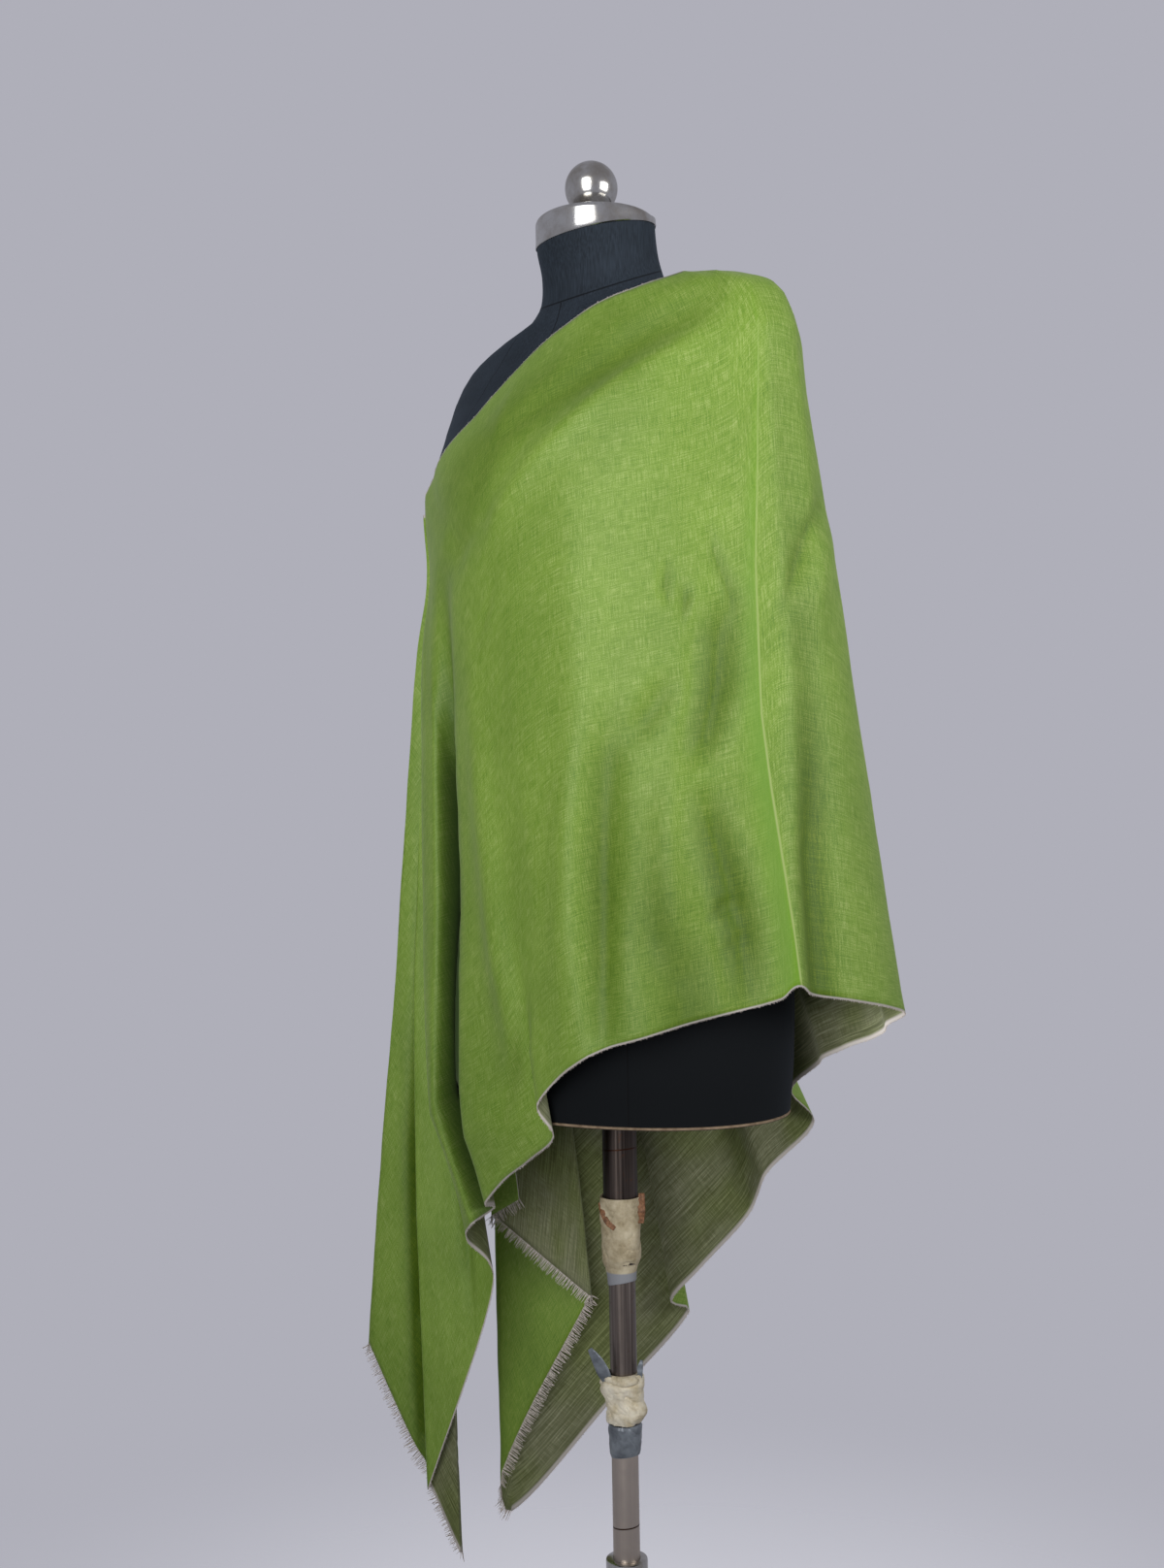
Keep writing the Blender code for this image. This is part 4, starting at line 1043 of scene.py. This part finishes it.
def makeWrap(name, node, look):
    # tape wound and squeezed by hand: folds that wind round it, and lumps
    wrap, segments = wraps[name], 128
    profile, swayRows = metres(wrap["profile"]), metres(wrap["sway"])
    rows = []
    for (z0, r0), (z1, r1) in zip(profile, profile[1:]):
        steps = max(1, round(abs(z1 - z0) / 0.0008))
        rows += [(z0 + (z1 - z0) * i / steps, r0 + (r1 - r0) * i / steps) for i in range(steps)]
    rows.append(profile[-1])
    way = math.radians(studio["camera"]["azimuth"])

    def crease(x, y, z):
        return 1 - abs(noise.noise(Vector((x, y, z + wrap["seed"])))) * 2

    def place(column, row):
        height, radius = rows[row]
        angle = 2 * math.pi * column / segments
        x, y = math.cos(angle), math.sin(angle)
        wound = height * 60 + (y + 0.6 * x) * wrap["pitch"]
        lump = noise.noise(Vector((x * 1.3, y * 1.3, height * 45 + wrap["seed"])))
        fold, small = crease(x * 0.8, y * 0.8, wound), crease(x * 2.2, y * 2.2, wound * 2.6)
        share = min(radius - profile[0][1], 0.003) / 0.003 if radius < 0.0150 else 1.0
        relief = lump * 1.2 - max(fold, 0) ** 5 * 0.9 - max(small, 0) ** 6 * 0.35 + 0.35
        radius += relief * wrap["crumple"] * max(share, 0)
        low = (profile[0][0] - height) / (profile[0][0] - profile[-1][0])
        height += wrap["slant"] * math.cos(angle - way + 0.8) * low
        sway = between(swayRows, height)
        return Vector((radius * x + sway * math.cos(way), radius * y + sway * math.sin(way),
                       hipHeight + height))

    bm = mappedGrid(segments, len(rows) - 1, place, closed=True)
    bmesh.ops.recalc_face_normals(bm, faces=bm.faces)
    addPiece(name, bm, [look], 60, [node])


flaps = {
    # a loose end of tape, in mm: height from the hip board, to the camera's right, towards it, half width
    "tornDuctTape": [(-254, -15, 11, 5), (-245, -19, 12.5, 6.5), (-235, -24, 12, 5.5),
                     (-225.5, -30.5, 9, 2.2)],
    "tornDuctTapeRight": [(-253, 15, 8, 2), (-244, 15, 8.5, 3), (-237, 16.5, 8, 1.2)],
    "brownTapeEar": [(-112, 17.6, 8.5, 3.4), (-102, 18.6, 8, 4), (-92, 19, 7, 3.6), (-85, 19.2, 6, 3)],
    "brownTapeEdge": [(-114, -6, 18.6, 2.2), (-109, -12.2, 15.2, 2.6), (-101, -16.6, 10.6, 2.6),
                      (-93, -19, 4, 2.2)],
}


def makeFlap(name, look, slot):
    rows, columns, steps = metres(flaps[name]), 6, 8
    way = math.radians(studio["camera"]["azimuth"])
    right, near = Vector((math.cos(way), math.sin(way), 0)), Vector((math.sin(way), -math.cos(way), 0))
    points = [right * across + near * nearer + Vector((0, 0, hipHeight + height))
              for height, across, nearer, _ in rows]

    def place(column, row):
        k = min(int(row / steps), len(rows) - 2)
        share = row / steps - k
        before, after = points[max(k - 1, 0)], points[min(k + 2, len(rows) - 1)]
        run = (points[k + 1] - points[k]).normalized()
        bend = (points[k] * 2 - before - points[k + 1]).lerp(points[k + 1] * 2 - points[k] - after, share)
        point = points[k].lerp(points[k + 1], share) + bend * (0.5 * share * (1 - share))
        side = run.cross(near * 1.5 + Vector((point.x, point.y, 0)).normalized()).normalized()
        half = rows[k][3] + (rows[k + 1][3] - rows[k][3]) * share
        crumple = noise.noise(point * 260) * 0.0014
        return point + side * half * (2 * column / columns - 1) + near * crumple

    bm = mappedGrid(columns, steps * (len(rows) - 1), place)
    thicken(addPiece(name, bm, [look]), stand["tapeThickness"])


studio = {
    "backdrop": "#AFAFB9",
    "floorRadius": 12.0, "fadeFrom": 0.3, "fadeTo": 1.5,
    "floorGlow": 0.55,  # the wide floor scatters more light back to the eye than these few lamps give it
    "mirrored": 0.75,
    "ambient": 0.08,  # what the room's walls give the object, next to what the eye sees of them
    "camera": {"azimuth": 42, "distance": 1.5, "height": 1.05, "lens": 50.58, "roll": -1.0,
               "shift": (-0.0276, 0.0367)},
    # azimuth and elevation round the target, distance, width, height, spread in degrees, watts, target
    "lights": [(22, 5, 1.9, 1.20, 1.8, 75, 9.6, (0, 0, 1.50)),
               (100, 4, 1.9, 1.15, 0.9, 85, 6.0, (0, 0, 1.40)),
               # two more soft ones behind, so that the back isn't lost in the dark
               (205, 16, 2.6, 1.50, 1.6, 120, 26.0, (0, 0, 1.20)),
               (252, 14, 2.6, 1.20, 1.4, 120, 9.0, (0, 0, 1.20)),
               # a small card under the cloth's left side, which lifts its inner face
               (-40, -45, 0.35, 0.06, 0.06, 50, 0.09, (0.200, 0.135, 0.875))],
}


def around(azimuth, elevation, distance, centre):
    a, e = math.radians(azimuth), math.radians(elevation)
    out = Vector((math.sin(a) * math.cos(e), -math.cos(a) * math.cos(e), math.sin(e)))
    return Vector(centre) + out * distance


def makeStudio():
    bm = bmesh.new()
    bmesh.ops.create_circle(bm, cap_ends=True, segments=96, radius=studio["floorRadius"])
    mesh = bpy.data.meshes.new("floor")
    bm.to_mesh(mesh)
    bm.free()
    floor = bpy.data.objects.new("floor", mesh)
    bpy.context.scene.collection.objects.link(floor)
    floor.location.z = -0.0005  # just under the foot
    # painted studio floor that fades into the backdrop
    material, tree, place = startMaterial("studioFloor")
    glow = addNode(tree, "Math", {"operation": "MULTIPLY", 0: addNode(tree, "LightPath", {}, "Is Camera Ray"),
                                  1: studio["floorGlow"]})
    paint = addNode(tree, "BsdfPrincipled", {"Roughness": 0.7, "Base Color": "#CFCFD6",
                                             "Emission Color": studio["backdrop"], "Emission Strength": glow})
    reach = addNode(tree, "VectorMath", {"operation": "LENGTH", 0: place}, "Value")
    fade = addNode(tree, "MapRange", {"interpolation_type": "SMOOTHSTEP", "Value": reach,
                                      "From Min": studio["fadeFrom"], "From Max": studio["fadeTo"]})
    mix = addNode(tree, "MixShader", {0: fade, 1: paint, 2: addNode(tree, "BsdfTransparent", {})})
    addNode(tree, "OutputMaterial", {"Surface": mix})
    mesh.materials.append(material)

    world = bpy.data.worlds.new("studio")
    bpy.context.scene.world = world
    world.use_nodes = True
    tree = world.node_tree
    seen, mirrored = (addNode(tree, "LightPath", {}, f"Is {kind} Ray") for kind in ("Camera", "Glossy"))
    mirrored = addNode(tree, "MapRange", {"Value": mirrored, "To Min": studio["ambient"],
                                          "To Max": studio["mirrored"]})
    strength = addNode(tree, "Math", {"operation": "MAXIMUM", 0: seen, 1: mirrored})
    walls = tree.nodes["Background"].inputs
    walls["Color"].default_value = linear(studio["backdrop"])
    tree.links.new(strength, walls["Strength"])

    for i, light in enumerate(studio["lights"]):
        azimuth, elevation, distance, width, height, spread, watts, target = light
        lamp = bpy.data.lights.new(f"softbox{i + 1}", "AREA")
        lamp.shape = "RECTANGLE"
        lamp.size, lamp.size_y, lamp.energy = width, height, watts
        lamp.spread = math.radians(spread)
        box = bpy.data.objects.new(lamp.name, lamp)
        bpy.context.scene.collection.objects.link(box)
        box.location = around(azimuth, elevation, distance, target)
        box.rotation_euler = (Vector(target) - box.location).to_track_quat("-Z", "Y").to_euler()
        box.visible_camera = False
        box.visible_glossy = azimuth < 180  # those behind would edge steel and cloth in white


def makeCamera():
    view = studio["camera"]
    a, roll = math.radians(view["azimuth"]), math.radians(view["roll"])
    right = Vector((math.cos(a), math.sin(a), 0))
    back = Vector((math.sin(a), -math.cos(a), 0))
    up = Vector((0, 0, 1))
    across = right * math.cos(roll) + up * math.sin(roll)
    above = up * math.cos(roll) - right * math.sin(roll)
    lens = bpy.data.cameras.new("camera")
    lens.lens, lens.sensor_width, lens.sensor_fit = view["lens"], 36.0, "HORIZONTAL"
    lens.shift_x, lens.shift_y = view["shift"]
    camera = bpy.data.objects.new("camera", lens)
    turn = Matrix((across, above, back)).transposed().to_4x4()
    turn.translation = back * view["distance"] + up * view["height"]
    camera.matrix_world = turn
    bpy.context.scene.collection.objects.link(camera)
    bpy.context.scene.camera = camera


makeCamera()
makeStudio()
bpy.context.scene.view_settings.view_transform = "Standard"
print("camera and studio made")

jersey, chrome, board = jerseyLook(), polishedSteel(), boardLook()
# the upper tube's steel is a darker copy of the lower one's: painted shade and painted dark reflections
upperShadedSteel = wornSteel("paintedShadeDrawnSteel", "#2B2522", "#554C47", hipHeight - 0.0445)
lowerSteel = wornSteel("wornDrawnSteel", "#584F4A", "#8A8078", hipHeight - 0.3900)
cream = clothTape("creamCottonTape", "#847759", "#B0A388", "#C8BDA3")
white = clothTape("whiteCottonTape", "#BDAE8C", "#E0D6BF", "#F2EBDA")
# undyed warp ends and edge threads: pale mauve grey, fibrous and matt
threadEnds = plainLook("undyedWarpEnds", [(0.3, "#A89D96"), (0.7, "#D6CEC7")], 600.0, 1.0, {
    "Roughness": 0.9, "Specular IOR Level": 0.2, "Sheen Weight": 0.3, "Sheen Tint": "#E8E2DC"})
# the brown gummed edge of old tape: dull, dirty, peeling
brown = plainLook("brownGummedTape", [(0.35, "#5A3A24"), (0.65, "#93694A")], 300.0, 4.0, {
    "Roughness": 0.6, "Specular IOR Level": 0.4})
# silver grey duct tape: polythene over cloth, half glossy on its wrinkles
duct = plainLook("greyDuctTape", [(0.3, "#585E66"), (0.65, "#858C94")], 90.0, 4.0, {
    "Roughness": 0.38, "Metallic": 0.25})

form = makeTorso(jersey)
print("form made")
cloth, grid, alongs = makeStole(form, [woolOutside(), woolInside(), threadEnds])
edges = makeEdges(grid, alongs, threadEnds)
print("stole and its edges made")

makeCap(chrome)
makeBall(chrome)
makeBoard(board)
for row in (("upperTube", "upper_tube", 16, -149, -3.3, upperShadedSteel, "steel"),
            ("lowerTube", "lower_tube", 12.3, -455, -149.3, lowerSteel, "steel"),
            ("baseTube", "base_tube", 16, -771.7, -455.3, chrome, "chrome")):  # radius, low and high in mm
    makeTube(*row)
makeWrap("tapeWrapUpper", "tape_wrap_upper", cream)
makeWrap("tapeWrapLower", "tape_wrap_lower", white)
makeWrap("ductBand", "duct_band", duct)
for name in flaps:
    makeFlap(name, *((duct, "duct_tape") if name.startswith("torn") else (brown, "cloth_tape")))
addTurned("collarRing", metres(stand["collar"]), chrome, "collar")
addTurned("footPlate", [(radius, height - hipHeight) for radius, height in metres(stand["foot"])], chrome,
          "base_plate", 160)
print("stand made")

for name in ("arm_plate_left", "arm_plate_right"):
    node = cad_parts[name]
    node.data.materials.clear()
    node.data.materials.append(jersey)
